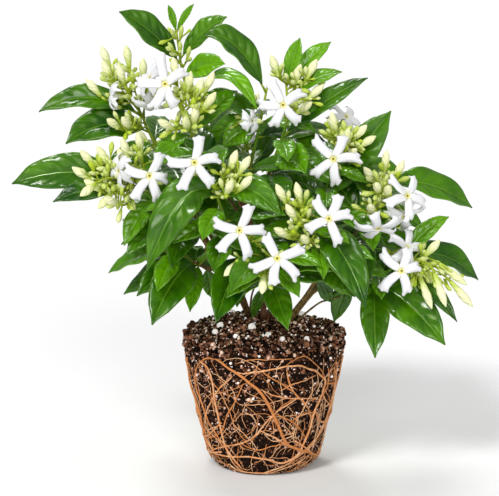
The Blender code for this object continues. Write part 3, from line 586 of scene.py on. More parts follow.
def bark_look():
    look, tree, shader = new_look("bark", 0.75, Specular_IOR_Level=0.25)
    streaks = noise_at(tree, 260, 4.0, (5, 5, 1))
    pores = ramp(tree, noise_at(tree, 900), 0.66, 0.72)
    brown = mix(tree, tone_of(tree), BARK_RED, BARK_GREENISH)
    colour = mix(tree, ramp(tree, streaks, 0.3, 0.7), BARK_DARK, brown)
    colour = mix(tree, times(tree, pores, 0.5), colour, BARK_PORES)
    finish_look(tree, shader, colour, streaks, 0.7, 0.001)
    return look


def root_look():
    look, tree, shader = new_look("root", 0.65, Specular_IOR_Level=0.2)
    streaks = noise_at(tree, 420, 3.0)
    colour = bands(tree, uneven_tone(tree, streaks, 0.5, 0.7), ROOT_BROWN, ROOT_CHANGES)
    finish_look(tree, shader, colour, streaks, 0.5, 0.0007)
    return look


def soil_look():
    look, tree, shader = new_look("soil", 0.9, Specular_IOR_Level=0.12)
    flecks = noise_at(tree, 700, 4.0)
    colour = bands(tree, uneven_tone(tree, flecks, 0.5, 0.8), PEAT_BLACK, PEAT_CHANGES)
    finish_look(tree, shader, colour, flecks, 0.8, 0.0012)
    return look


def perlite_look():
    # The emission is painted light, a glow that brightens the grains where the leaves shade them
    look, tree, shader = new_look("perlite", 0.8, Specular_IOR_Level=0.2, **PERLITE_PAINTED_GLOW)
    pits = noise_at(tree, 1500, 3.0)
    # Painted shade: darker where the relief dips into pits
    colour = mix(tree, ramp(tree, pits, 0.28, 0.55), PERLITE_PIT_SHADE, PERLITE_WHITE)
    finish_look(tree, shader, colour, pits, 0.7, 0.0006)
    return look


bark = bark_look()
root = root_look()
soil = soil_look()
perlite = perlite_look()
print("ball looks:", bark.name, root.name, soil.name, perlite.name)

# %% [markdown]
# ## The floor
#
# The picture's ground is plain white. A disc so wide that its edge is never seen gives the same, and
# a trace of noise in its colour keeps it from looking like flat paint. It is only a stage for the
# plant, so it isn't made with `piece`.

# %% Floor
FLOOR_RADIUS = 14.0
FLOOR_GREY = (0.90, 0.90, 0.90)
FLOOR_PALE = (0.93, 0.93, 0.93)


def add_floor():
    mesh = bmesh.new()
    bmesh.ops.create_circle(mesh, cap_ends=True, segments=64, radius=FLOOR_RADIUS)
    data = bpy.data.meshes.new("floor")
    mesh.to_mesh(data)
    mesh.free()
    floor = bpy.data.objects.new("floor", data)
    bpy.context.scene.collection.objects.link(floor)
    look, tree, shader = new_look("pale_floor", 0.9)
    finish_look(tree, shader, mix(tree, noise_at(tree, 3), FLOOR_GREY, FLOOR_PALE))
    data.materials.append(look)


add_floor()
print("floor of radius", FLOOR_RADIUS, "m")

# %% [markdown]
# ## The root ball's shape
#
# The plug keeps the pot's taper, with a rounded foot and a heaped top. Low clods stand out of its side.
# These functions say where its surface is, so that crumbs, roots and perlite can all sit on it.

# %% Soil surface
BALL_RIM_RADIUS = 0.0445
BALL_FOOT_RADIUS = 0.0285
BALL_RIM_HEIGHT = 0.070
BALL_DOME = 0.0125
BALL_SIDE_CURVE = 0.85
# The foot's edge is rounded off by the first of these, below the height of the second
FOOT_ROUNDING = 0.0030
FOOT_ROUNDED_BELOW = 0.010
SIDE_CLODS = 0.0009
TOP_CLODS = 0.0018
FINE_CLODS = 0.0005
PLUG_SIDE_ROWS = 44
PLUG_TOP_ROWS = 16
PLUG_COLUMNS = 132
PLUG_TONE = 0.1


def ball_radius(height):
    """The ball's radius at a height."""
    share = max(0.0, min(1.0, height / BALL_RIM_HEIGHT))
    taper = BALL_FOOT_RADIUS + (BALL_RIM_RADIUS - BALL_FOOT_RADIUS) * share**BALL_SIDE_CURVE
    return taper - FOOT_ROUNDING * max(0.0, 1 - height / FOOT_ROUNDED_BELOW) ** 2


def soil_side_point(turn, height, lift=0.0):
    """A point on the side of the plug, or held off it."""
    spot = Vector((math.cos(turn), math.sin(turn), height / 0.03)) * 2.6
    radius = ball_radius(height) + SIDE_CLODS * noise(spot) * min(1.0, height / 0.006) + lift
    return Vector((radius * math.cos(turn), radius * math.sin(turn), height))


def soil_top_point(radius, turn, lift=0.0):
    """A point on the heaped top of the soil, or held off it."""
    share = radius / BALL_RIM_RADIUS
    spot = Vector((math.cos(turn) * share, math.sin(turn) * share, 0.3)) * 4.2
    height = BALL_RIM_HEIGHT + BALL_DOME * (1 - share**3) + TOP_CLODS * noise(spot) * share
    return Vector((radius * math.cos(turn), radius * math.sin(turn), height + lift))


def soil_plug():
    """The fine plug: rows up the side, over the rim and in to the middle of the top."""
    rows = PLUG_SIDE_ROWS + PLUG_TOP_ROWS + 1
    mesh, places = sheet(rows, PLUG_COLUMNS)
    for corner, (along, around) in zip(mesh.verts, places):
        row = round(along * rows)
        turn = math.tau * around
        if row == 0:
            corner.co = Vector((0, 0, 0))
        elif row <= PLUG_SIDE_ROWS:
            corner.co = soil_side_point(turn, BALL_RIM_HEIGHT * (row - 1) / (PLUG_SIDE_ROWS - 1))
        else:
            share = (rows - row) / PLUG_TOP_ROWS
            corner.co = soil_top_point(BALL_RIM_RADIUS * share * 0.97, turn)
        outwards = Vector((corner.co.x, corner.co.y, corner.co.z - 0.04)).normalized()
        if corner.co.z > 0.004:
            corner.co += outwards * FINE_CLODS * noise(corner.co * 420)
    weld(mesh)
    return set_tone(mesh, PLUG_TONE)


soil_core = piece("soil_core", [soil_plug()], [soil], ["potting_soil"])
print("soil core:", len(soil_core.data.polygons), "faces")

# %% [markdown]
# ## Crumbs of peat
#
# Potting soil is thousands of crumbs. Each one is a twenty-sided ball, squashed and turned at random,
# which is plain enough to repeat and, at this size, looks like a real crumb. The seed is fixed, so
# every run scatters them alike. They are made in small batches, because adding to a big mesh is slow.

# %% Scatter crumbs
SIDE_CRUMBS = 9200
TOP_CRUMBS = 9200
CRUMB_BATCH = 120
CRUMB_CURVE = 2.6
# Crumbs above this height on the side are larger
COARSE_ABOVE = 0.045
COARSER_BY = 1.25
RIM_STARTS = 0.7
RIM_HEAP = 0.0056


def mostly_small(chance, least, spread, curve):
    """A random size from the least up, with many more small ones than large ones."""
    return least + spread * chance.random() ** curve


def side_crumb_spots(chance):
    """Where each crumb on the side goes, and its size."""
    for _ in range(SIDE_CRUMBS):
        height = BALL_RIM_HEIGHT * chance.random() ** 0.8
        size = mostly_small(chance, 0.00031, 0.00075, CRUMB_CURVE)
        size *= COARSER_BY if height > COARSE_ABOVE else 1.0
        lift = chance.uniform(-0.5, 0.35) * size
        yield soil_side_point(chance.uniform(0, math.tau), max(height, size * 1.35), lift), size


def top_crumb_spots(chance):
    """Where each crumb on the top goes, heaped up towards the rim."""
    for _ in range(TOP_CRUMBS):
        radius = BALL_RIM_RADIUS * 1.01 * chance.random() ** 0.45
        size = mostly_small(chance, 0.00034, 0.0009, CRUMB_CURVE)
        rim = max(0.0, radius / BALL_RIM_RADIUS - RIM_STARTS) * 3.3
        size *= 1 + 0.25 * rim
        lift = chance.uniform(-0.3, 0.6) * size + rim * RIM_HEAP * chance.random() ** 2
        yield soil_top_point(radius, chance.uniform(0, math.tau), lift), size


def random_turn(chance):
    angle = chance.uniform(0, math.tau)
    return Matrix.Rotation(angle, 4, Vector([chance.uniform(-1, 1) for _ in range(3)]))


def crumbs(spots_of, seed):
    chance = random.Random(seed)
    spots = list(spots_of(chance))
    for start in range(0, len(spots), CRUMB_BATCH):
        batch = new_mesh()
        layer = batch.verts.layers.float["tone"]
        for spot, size in spots[start:start + CRUMB_BATCH]:
            stretch = [chance.uniform(0.5, 1.35) for _ in range(3)]
            place = Matrix.Translation(spot) @ random_turn(chance) @ Matrix.Diagonal((*stretch, 1))
            made = bmesh.ops.create_icosphere(batch, subdivisions=1, radius=size, matrix=place)
            tone = chance.random() ** 1.7
            for corner in made["verts"]:
                corner[layer] = tone
        yield batch


for name, spots_of, seed in (("side_crumbs", side_crumb_spots, 5), ("top_crumbs", top_crumb_spots, 6)):
    made = piece(name, crumbs(spots_of, seed), [soil], ["potting_soil"])
    made.data.shade_flat()
    print(name, "faces:", len(made.data.polygons))

# %% [markdown]
# ## Perlite
#
# Perlite is volcanic glass that was puffed up by heat. Eight large white grains show in the front of
# the soil, and smaller ones are scattered through its top and side. Each is a ball roughened with
# noise. `on_ball` finds where the eye's line through a pixel meets the ball, so a grain, or later a
# root, can be put just where the picture shows it.

# %% Perlite grains
PERLITE_RADIUS = 0.0018
PERLITE_SEEN = [
    (216, 333), (221, 327), (236, 337), (252, 328), (268, 336), (282, 340), (306, 341), (321, 338),
]
SMALL_PERLITE = 330
# Share of the small grains that lies on the top
PERLITE_ON_TOP = 0.7
PERLITE_STANDS_OUT = 0.0007
PERLITE_ROUGHNESS = 0.16
# Grains larger than this get more faces
LARGE_PERLITE = 0.0012


# The part of each line of sight that is searched, as shares of the way to the plant's axis
SEARCH_START = 0.945
SEARCH_STEP = 0.0005
SEARCH_STEPS = 140


def on_ball(column, row):
    """Where the line of sight first meets the ball, or passes nearest to its side."""
    ray = from_photo(column, row, 0) - CAMERA_PLACE
    spots = [CAMERA_PLACE + ray * (SEARCH_START + SEARCH_STEP * step) for step in range(SEARCH_STEPS)]

    def outside(spot):
        radius = math.hypot(spot.x, spot.y)
        over_top = spot.z - soil_top_point(radius, math.atan2(spot.y, spot.x)).z
        return max(0.0, radius - ball_radius(spot.z), over_top)

    return min(spots, key=lambda spot: outside(spot) * 50 + spot.y)


def perlite_spots():
    """The grains that the picture shows, those behind, and the small ones."""
    spots = [on_ball(*seen) for seen in PERLITE_SEEN]
    spots += [
        soil_top_point(math.hypot(spot.x, spot.y) * 0.8, math.atan2(-spot.y, -spot.x), 0.0006)
        for spot in spots[::3]
    ]
    for index, spot in enumerate(spots):
        outwards = Vector((spot.x, spot.y, spot.z - BALL_RIM_HEIGHT * 0.6)).normalized()
        yield spot + outwards * PERLITE_STANDS_OUT, PERLITE_RADIUS * (1 + 0.25 * math.sin(index * 2.4))
    chance = random.Random(11)
    for _ in range(SMALL_PERLITE):
        turn = chance.uniform(0, math.tau)
        size = mostly_small(chance, 0.0002, 0.0008, 2)
        if chance.random() < PERLITE_ON_TOP:
            yield soil_top_point(BALL_RIM_RADIUS * 1.01 * chance.random() ** 0.4, turn, size * 1.2), size
        else:
            height = BALL_RIM_HEIGHT * (1 - 0.6 * chance.random() ** 1.2)
            yield soil_side_point(turn, height, size * 0.6), size


def perlite_grains():
    for index, (spot, size) in enumerate(perlite_spots()):
        grain = new_mesh()
        bmesh.ops.create_icosphere(grain, subdivisions=3 if size > LARGE_PERLITE else 1, radius=size)
        for corner in grain.verts:
            corner.co *= 1 + PERLITE_ROUGHNESS * noise(corner.co * 800 + Vector((index, 0, 0)))
        bmesh.ops.translate(grain, verts=grain.verts, vec=spot)
        yield grain


white_grains = piece("perlite_grains", perlite_grains(), [perlite], ["potting_soil"])
print("perlite faces:", len(white_grains.data.polygons))

# %% [markdown]
# ## Pale bits of bark
#
# A few chips of composted bark lie just under the rim. Each is a ball that is squashed into a sliver
# and roughened, in the soil's own material with a high tone, which makes it pale.

# %% Bits of bark
# Column and row in the picture, and length in millimetres
BARK_BITS = [
    (234, 350, 3.0), (211, 342, 1.8), (299, 347, 1.9), (259, 343, 1.6), (327, 352, 1.8), (196, 350, 1.6),
]
BARK_BIT_SHAPE = (0.5, 0.3, 0.32, 1)
BARK_BIT_TONE = 0.9


def bark_bits():
    for index, (column, row, length_mm) in enumerate(BARK_BITS):
        spot = on_ball(column, row)
        bit = new_mesh()
        turn = Matrix.Rotation(index * 1.9, 4, "Y")
        place = Matrix.Translation(spot) @ turn @ Matrix.Diagonal(BARK_BIT_SHAPE)
        bmesh.ops.create_icosphere(bit, subdivisions=2, radius=length_mm / 1000, matrix=place)
        for corner in bit.verts:
            corner.co += (corner.co - spot) * 0.3 * noise(corner.co * 900)
        yield set_tone(bit, BARK_BIT_TONE)


chips = piece("bark_bits", bark_bits(), [soil], ["potting_soil"])
print("bark bits:", len(BARK_BITS), "with", len(chips.data.polygons), "faces")

# %% [markdown]
# ## The root net
#
# Pot-bound roots run round the ball and cross one another. The solids hold the thickest ones, and
# those come first, at the same headings. A root is a path over the unrolled side of the ball, by
# heading and height, so it can never leave the soil.

# %% Thick roots, as in the solids
ROOT_RADIUS = 0.0009
ROOT_FLOOR_GAP = 0.0012
ROOT_OFF_SOIL = 0.0006
# How slim the roots are beside their solids
ROOT_SLIM = 0.78
MAIN_ROOT_SLIM = 0.74
ROOT_WANDER = 0.0006
ROOT_TAPER = 0.35
ROOT_KNOTS = 0.34
ROOT_TONE = 0.52
ROOT_TONE_SPREAD = 0.30
# Roots thicker than this are rounder
ROUND_ROOT_RADIUS = 0.0006
# Roots up to this thin are paler, by the second number
THIN_ROOT_RADIUS = 0.0003
THIN_ROOT_PALER = 0.12
# Radius, then the columns and rows that the root passes in the picture
ROOTS_SEEN = [
    (0.0012, [(218, 359), (234, 370), (247, 380), (261, 392), (271, 410), (279, 428), (286, 443),
              (301, 450), (319, 456)]),
    (0.0008, [(248, 373), (262, 371), (279, 368), (295, 365), (308, 368), (319, 375), (323, 382),
              (319, 397), (313, 411), (309, 427), (302, 443), (295, 455), (283, 462), (267, 459),
              (248, 456), (228, 456), (214, 452)]),
    (0.0008, [(202, 360), (210, 368), (215, 385), (217, 404), (222, 424), (226, 444), (233, 456),
              (243, 468)]),
    (0.0007, [(218, 359), (208, 358), (200, 366), (198, 385), (204, 403), (210, 419), (218, 433),
              (224, 446)]),
    (0.0007, [(233, 376), (222, 387), (214, 399), (209, 411), (208, 424)]),
    (0.0007, [(298, 397), (291, 402), (277, 411), (262, 427), (255, 436), (243, 443), (227, 446),
              (212, 451)]),
    (0.0006, [(255, 365), (269, 376), (286, 387), (298, 397), (307, 409), (311, 421)]),
    (0.0006, [(263, 390), (277, 396), (292, 398), (316, 397)]),
    (0.0007, [(332, 366), (332, 385), (328, 405), (320, 428), (309, 443), (300, 452)]),
    (0.0006, [(274, 413), (286, 418), (297, 426), (304, 436)]),
    (0.0007, [(189, 360), (192, 385), (198, 409), (205, 431), (215, 449)]),
]
# Roots round the sides and back: heading in degrees (-90 faces the viewer) and share of the rim's height
ROOTS_ROUND = [
    [(-62, 0.30), (-30, 0.12), (-4, 0.10), (24, 0.16), (52, 0.30), (84, 0.34), (112, 0.24), (140, 0.12),
     (172, 0.10), (200, 0.12), (226, 0.18)],
    [(-36, 0.74), (4, 0.66), (32, 0.56), (64, 0.60), (96, 0.70), (128, 0.66), (160, 0.52), (190, 0.40)],
    [(-12, 0.90), (0, 0.52), (14, 0.26), (10, 0.06)],
    [(30, 0.88), (36, 0.60), (48, 0.34), (60, 0.05)],
    [(70, 0.90), (78, 0.64), (92, 0.40), (88, 0.06)],
    [(110, 0.90), (120, 0.60), (112, 0.34), (128, 0.05)],
    [(150, 0.88), (160, 0.64), (150, 0.40), (160, 0.05)],
    [(196, 0.90), (192, 0.66), (200, 0.40), (188, 0.05)],
    [(-44, 0.52), (-30, 0.40), (-2, 0.44), (28, 0.40), (58, 0.44), (88, 0.50), (120, 0.42), (152, 0.30),
     (182, 0.22), (212, 0.30), (232, 0.44)],
]


def guide_along(seen):
    """The heading in degrees and the height in metres at each column and row that a root passes."""
    spots = [on_ball(*place) for place in seen]
    return [(math.degrees(math.atan2(spot.y, spot.x)), min(spot.z, BALL_RIM_HEIGHT)) for spot in spots]


def root_tone(radius, seed):
    """How pale a root is: some are paler than others, and the thin ones most."""
    tone = ROOT_TONE + ROOT_TONE_SPREAD * math.sin(seed * 2.1) ** 2
    return tone if radius > THIN_ROOT_RADIUS else tone + THIN_ROOT_PALER


def root_on_ball(guide, radius, lift, count, seed):
    """A root through (heading in degrees, height in metres) points, laid on the ball's side."""
    path = []
    radii = []
    for index, spot in enumerate(smooth_path([Vector((*point, 0)) for point in guide], count)):
        wander = noise(Vector((index * 0.3, seed * 7.3, 0))) * ROOT_WANDER
        height = max(spot.y + wander, radius + ROOT_FLOOR_GAP)
        path.append(soil_side_point(math.radians(spot.x), height, lift))
        taper = 1 - ROOT_TAPER * abs(2 * index / (count - 1) - 1)
        radii.append(radius * taper * (1 + ROOT_KNOTS * noise(Vector((index * 0.6, seed * 3.1, 4)))))
    return tube(path, radii, 8 if radius > ROUND_ROOT_RADIUS else 5, root_tone(radius, seed))


def thick_roots():
    for index, (solid_radius, seen) in enumerate(ROOTS_SEEN):
        radius = solid_radius * (MAIN_ROOT_SLIM if index == 0 else ROOT_SLIM)
        yield root_on_ball(guide_along(seen), radius, radius + ROOT_OFF_SOIL, 6 * len(seen), index)
    for index, strand in enumerate(ROOTS_ROUND):
        guide = [(turn, height * BALL_RIM_HEIGHT) for turn, height in strand]
        radius = ROOT_RADIUS * ROOT_SLIM
        yield root_on_ball(guide, radius, radius + ROOT_OFF_SOIL, 9 * len(strand), 20 + index)


main_roots = piece("main_roots", thick_roots(), [root], ["root_net"])
print("thick roots:", len(ROOTS_SEEN) + len(ROOTS_ROUND), "with", len(main_roots.data.polygons), "faces")

# %% [markdown]
# ## Thinner roots that can be followed
#
# These are traced in the picture too: a radius in millimetres, then the columns and rows that the root
# passes. Tracing the lines that the eye can follow makes the net recognisable.

# %% Roots traced from the picture
TRACED_ROOT_LIFT = 0.0011
TRACED_ROOTS = [
    (0.45, [(243, 385), (236, 401), (228, 416), (223, 431), (210, 439)]),
    (0.35, [(314, 375), (301, 381), (291, 384), (280, 390)]),
    (0.35, [(286, 373), (289, 385), (295, 394)]),
    (0.30, [(238, 363), (252, 356), (271, 350), (289, 350)]),
    (0.30, [(240, 404), (255, 404), (267, 403), (285, 398)]),
    (0.40, [(260, 430), (274, 437), (286, 444)]),
    (0.35, [(241, 443), (257, 449), (274, 445), (285, 444)]),
    (0.45, [(326, 368), (326, 385), (322, 397), (328, 409), (325, 431), (315, 452), (309, 464)]),
    (0.40, [(232, 466), (250, 473), (270, 472), (292, 464), (310, 452)]),
    (0.30, [(286, 365), (294, 352), (306, 356), (318, 368), (324, 380)]),
    (0.40, [(188, 358), (191, 375), (194, 392), (200, 415), (208, 433), (211, 446)]),
    (0.45, [(334, 362), (333, 385), (329, 409), (320, 426), (311, 443), (296, 456), (279, 467), (255, 474),
            (242, 470), (231, 456), (226, 444)]),
    (0.35, [(321, 387), (328, 401), (330, 415), (326, 431), (320, 443), (313, 460)]),
    (0.40, [(286, 370), (290, 385), (296, 396), (304, 403), (309, 416), (311, 428)]),
    (0.35, [(260, 430), (272, 436), (283, 443), (298, 450), (316, 456)]),
    (0.30, [(206, 362), (212, 378), (222, 392), (230, 410), (238, 430), (250, 446)]),
    (0.30, [(262, 389), (268, 396), (274, 406), (270, 420), (262, 434)]),
    (0.50, [(236, 372), (245, 373), (255, 372), (266, 370)]),
    (0.22, [(225, 391), (233, 389), (242, 385), (252, 379), (259, 371)]),
    (0.22, [(252, 355), (258, 363), (254, 371), (243, 378), (238, 388)]),
    (0.20, [(280, 353), (281, 362), (276, 371), (279, 380)]),
    (0.25, [(240, 404), (232, 396), (221, 392), (209, 396), (204, 405)]),
    (0.22, [(262, 389), (254, 396), (246, 405), (243, 417), (247, 428)]),
    (0.22, [(214, 372), (222, 377), (231, 386), (236, 397), (234, 410)]),
    (0.20, [(246, 405), (255, 412), (258, 422), (251, 432), (240, 437)]),
    (0.22, [(197, 364), (199, 379), (202, 396), (207, 414), (210, 429)]),
    (0.20, [(222, 362), (233, 358), (246, 360), (257, 366)]),
]


def traced_roots():
    for index, (radius_mm, seen) in enumerate(TRACED_ROOTS):
        yield root_on_ball(guide_along(seen), radius_mm / 1000, TRACED_ROOT_LIFT, 7 * len(seen), 30 + index)


side_roots = piece("traced_roots", traced_roots(), [root], ["root_net"])
print("traced roots:", len(TRACED_ROOTS), "with", len(side_roots.data.polygons), "faces")

# %% [markdown]
# ## Rootlets
#
# Between the traced ones the soil is webbed with hair-thin roots that nobody could trace. Each takes
# nine short steps over the ball, turning a little at every step, from a seeded chance. Hair could
# draw them as well, but thin tubes of five sides keep everything a mesh that can be exported.

# %% Fine roots that wander
FINE_ROOTS = 380
FINE_ROOT_STEPS = 9
FINE_ROOT_POINTS = 12
FINE_ROOT_STEP = (0.0010, 0.0030)
FINE_ROOT_RADIUS = (0.00011, 0.00027)
FINE_ROOT_LIFT = (0.0006, 0.0013)


def fine_roots():
    chance = random.Random(23)
    for index in range(FINE_ROOTS):
        turn = chance.uniform(0, 360)
        height = BALL_RIM_HEIGHT * mostly_small(chance, 0.03, 0.76, 1.15)
        upright = math.pi / 2 + chance.uniform(-0.4, 0.4)
        course = upright if chance.random() < 0.5 else chance.uniform(0, math.tau)
        bend = chance.uniform(-0.6, 0.6)
        step = chance.uniform(*FINE_ROOT_STEP)
        guide = []
        for _ in range(FINE_ROOT_STEPS):
            guide.append((turn, max(0.001, min(height, BALL_RIM_HEIGHT * 0.97))))
            course += bend * 0.5 + chance.uniform(-0.35, 0.35)
            turn += math.degrees(step * math.cos(course) / ball_radius(height))
            height += step * math.sin(course)
        radius = chance.uniform(*FINE_ROOT_RADIUS)
        yield root_on_ball(guide, radius, chance.uniform(*FINE_ROOT_LIFT), FINE_ROOT_POINTS, index)


rootlets = piece("fine_roots", fine_roots(), [root], ["root_net"])
print("fine roots:", FINE_ROOTS, "with", len(rootlets.data.polygons), "faces")

# %% [markdown]
# ## The plant's tables
#
# These say what bears what and where the picture shows it. Each row is a column and a row of the
# picture with millimetres forward of the plant's axis. They are the same as the solids', so the fine
# pieces land where the solids are.

# %% Stems and shoots
WOODY_STEMS = {
    "centre": [(264, 322, 0), (262, 290, 6), (258, 262, 8), (250, 235, 4), (245, 212, 0)],
    "left": [(249, 318, -10), (240, 292, -10), (222, 268, -6), (206, 248, 0)],
    "right": [(290, 320, 4), (304, 300, 8), (322, 284, 8), (338, 270, 6)],
}
# Leafy shoots: the woody stem that bears it, how far up that, and the way that it takes
SHOOTS = {
    "left_low": ("left", 0.86, [(206, 268, 12), (190, 260, 22), (176, 252, 28), (160, 248, 32)]),
    "left_mid": ("left", 0.97, [(198, 234, 6), (175, 214, 12), (150, 196, 18), (126, 180, 22)]),
    "left_up": ("left", 0.92, [(200, 226, -12), (174, 180, -8), (152, 138, -4), (136, 102, 2)]),
    "top_left": ("centre", 0.74, [(240, 215, 16), (212, 172, 24), (190, 130, 30), (180, 102, 33)]),
    "top": ("centre", 0.9, [(236, 190, -6), (212, 135, -6), (186, 85, 0), (176, 30, 0)]),
    "centre_top": ("centre", 0.99, [(246, 186, 1), (254, 150, 6), (261, 118, 10), (267, 88, 10)]),
    "top_right": ("centre", 0.95, [(262, 192, 14), (276, 155, 18), (287, 118, 22), (286, 80, 20)]),
    "right_up": ("right", 0.8, [(312, 245, 12), (322, 205, 18), (332, 165, 22), (342, 135, 22)]),
    "right_mid": ("right", 0.95, [(344, 250, 10), (360, 226, 18), (374, 204, 22), (388, 180, 24)]),
    "right_low": ("right", 0.99, [(352, 276, 16), (370, 278, 24), (390, 270, 30), (408, 256, 32)]),
    "front_centre": ("centre", 0.32, [(265, 286, 28), (267, 274, 42), (268, 262, 54), (268, 248, 60)]),
    "front_right": ("right", 0.5, [(316, 278, 26), (320, 258, 40), (316, 238, 50), (306, 220, 54)]),
    "front_left": ("centre", 0.55, [(244, 258, 24), (230, 232, 38), (220, 205, 46), (212, 180, 50)]),
    "back_left": ("left", 0.8, [(216, 245, -28), (186, 195, -48), (164, 142, -62)]),
    "back_low_left": ("left", 0.66, [(220, 266, -32), (188, 246, -50), (152, 222, -62)]),
    "back_centre": ("centre", 0.8, [(250, 212, -20), (248, 162, -42), (246, 110, -54)]),
    "back_mid": ("centre", 0.5, [(256, 250, -24), (259, 222, -56), (262, 192, -82)]),
    "back_right": ("right", 0.74, [(324, 250, -18), (338, 198, -40), (346, 142, -54)]),
    "back_low_right": ("right", 0.9, [(346, 262, -16), (368, 245, -40), (390, 226, -56)]),
}
STEM_FOOT_HEIGHT = BALL_RIM_HEIGHT - 0.004
WOODY_STEM_RADIUS = 0.0021
BRANCH_RADIUS = 0.0012
GREEN_STEM_RADIUS = 0.0010


def woody_path(name):
    """The way of a woody stem, from its foot in the soil."""
    points = [from_photo(*spot) for spot in WOODY_STEMS[name]]
    foot = Vector((points[0].x, points[0].y, STEM_FOOT_HEIGHT))
    return [foot, foot.lerp(points[0], 0.5)] + points


def shoot_points(name):
    return [from_photo(*spot) for spot in SHOOTS[name][2]]


print("woody stems:", len(WOODY_STEMS), "shoots:", len(SHOOTS))

# %% [markdown]
# ## Woody stems
#
# Each stem is a tube with swellings where leaves once stood, and a short branch for every shoot that
# goes on from it. One skin over them all would be smoother at the forks. Overlapping tubes are simpler,
# their streaks run along the wood, and a branch that starts inside the stem shows no joint. A few thin
# bare twigs stand beside the stems.

# %% Build the woody stems
# From reddish brown at 0 to greenish brown at 1
WOOD_TONES = {"centre": 0.0, "left": 0.3, "right": 0.8}
TWIG_RADIUS = 0.0007
# Thickness at both ends as shares of the radius, number of knots, how far they swell, and sides
STEM_FORM = ((1, 0.58), 7, 0.16, 10)
BRANCH_FORM = ((1.15, 0.90), 3, 0.12, 8)
TWIG_FORM = ((1, 0.55), 4, 0.2, 6)
STEM_POINTS = 44
BRANCH_POINTS = 14
TWIG_POINTS = 16
# Thin twigs: the stem that bears each, how far up, and the columns and rows that it passes
TWIGS = [
    ("right", 0.30, [(316, 305, 10), (328, 300, 14), (340, 297, 16)]),
    ("right", 0.36, [(316, 290, 16), (327, 283, 18), (342, 281, 18)]),
    ("centre", 0.16, [(270, 306, 8), (274, 296, 12), (279, 284, 14)]),
    ("left", 0.20, [(251, 300, -4), (254, 288, -2), (258, 276, 0)]),
    ("left", 0.36, [(232, 286, -4), (220, 282, 2), (208, 276, 6)]),
]


def knotty_tube(path, radius, ends, knots, swell, sides, tone=0.5):
    """A tube that thins from one share of its radius to another, and swells at even steps."""
    radii = []
    for share in even_shares(len(path)):
        off_knot = abs((share * knots + 0.5) % 1 - 0.5)
        thinning = ends[0] + (ends[1] - ends[0]) * share
        radii.append(radius * thinning * (1 + swell * max(0.0, 1 - off_knot * 9)))
    return tube(path, radii, sides, tone)


def branch(stem_path, share, points, tone):
    """The short way from inside the stem to a shoot's foot, which it meets head on."""
    start = points[0]
    ahead = (smooth_point(points, 0.02) - start).normalized()
    fork = smooth_point(stem_path, share * 0.97)
    bend = start - ahead * min(0.006, (start - fork).length * 0.5)
    controls = [fork, fork.lerp(bend, 0.5), bend, start]
    way = [bezier(controls, step) for step in even_shares(BRANCH_POINTS)]
    return knotty_tube(way, BRANCH_RADIUS, *BRANCH_FORM, tone)


def woody_parts(name):
    path = woody_path(name)
    tone = WOOD_TONES[name]
    yield knotty_tube(smooth_path(path, STEM_POINTS), WOODY_STEM_RADIUS, *STEM_FORM, tone)
    for shoot, (bearer, share, _) in SHOOTS.items():
        if bearer == name:
            yield branch(path, share, shoot_points(shoot), tone)
    for bearer, share, spots in TWIGS:
        if bearer == name:
            points = [smooth_point(path, share)] + [from_photo(*spot) for spot in spots]
            yield knotty_tube(smooth_path(points, TWIG_POINTS), TWIG_RADIUS, *TWIG_FORM, tone)


for name in WOODY_STEMS:
    made = piece("wood_" + name, woody_parts(name), [bark], ["woody_stem_" + name])
    print(made.name, "faces:", len(made.data.polygons))

# %% [markdown]
# ## Which place each piece settled in
#
# When the solids were made, a leaf or bloom that ran into a neighbour was moved along the line of
# sight. The same places are tried here, and the one that has a corner of the solid in it is the one
# that was used.

# %% Find the settled places
SHIFTS_FORWARD = [0, 0.004, -0.004, 0.008, -0.008, 0.013, -0.013, 0.018]
SAME_PLACE = 0.0001


def corner_finder(node):
    """A search tree over a solid's corners."""
    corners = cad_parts[node].data.vertices
    finder = KDTree(len(corners))
    for index, corner in enumerate(corners):
        finder.insert(corner.co, index)
    finder.balance()
    return finder


def has_corner(finder, spot):
    return finder.find(spot)[2] < SAME_PLACE


def settled_tip(finder, tip):
    """The tip after the shift that the solid shows, or None where it was left out."""
    for shift in SHIFTS_FORWARD:
        spot = along_view(tip, shift)
        if has_corner(finder, spot):
            return spot
    return None


finders = {shoot: corner_finder("shoot_" + shoot) for shoot in SHOOTS}
print("search trees:", len(finders))

# %% [markdown]
# ## Blooms
#
# A bloom is a slim tube that opens into five strap-shaped petals, all leaning the same way round like
# a pinwheel. The tips are cut off square and a little torn, with rolled edges. Those of the open blooms
# are placed by the pixels where the picture shows them. The other blooms are turned away.

# %% Where the blooms are
PETAL_WIDTH = 0.0058
PETAL_THICKNESS = 0.0007
HUB_RADIUS = 0.0029
HUB_HALF_SIDE = math.radians(25)
TUBE_LENGTH = 0.0090
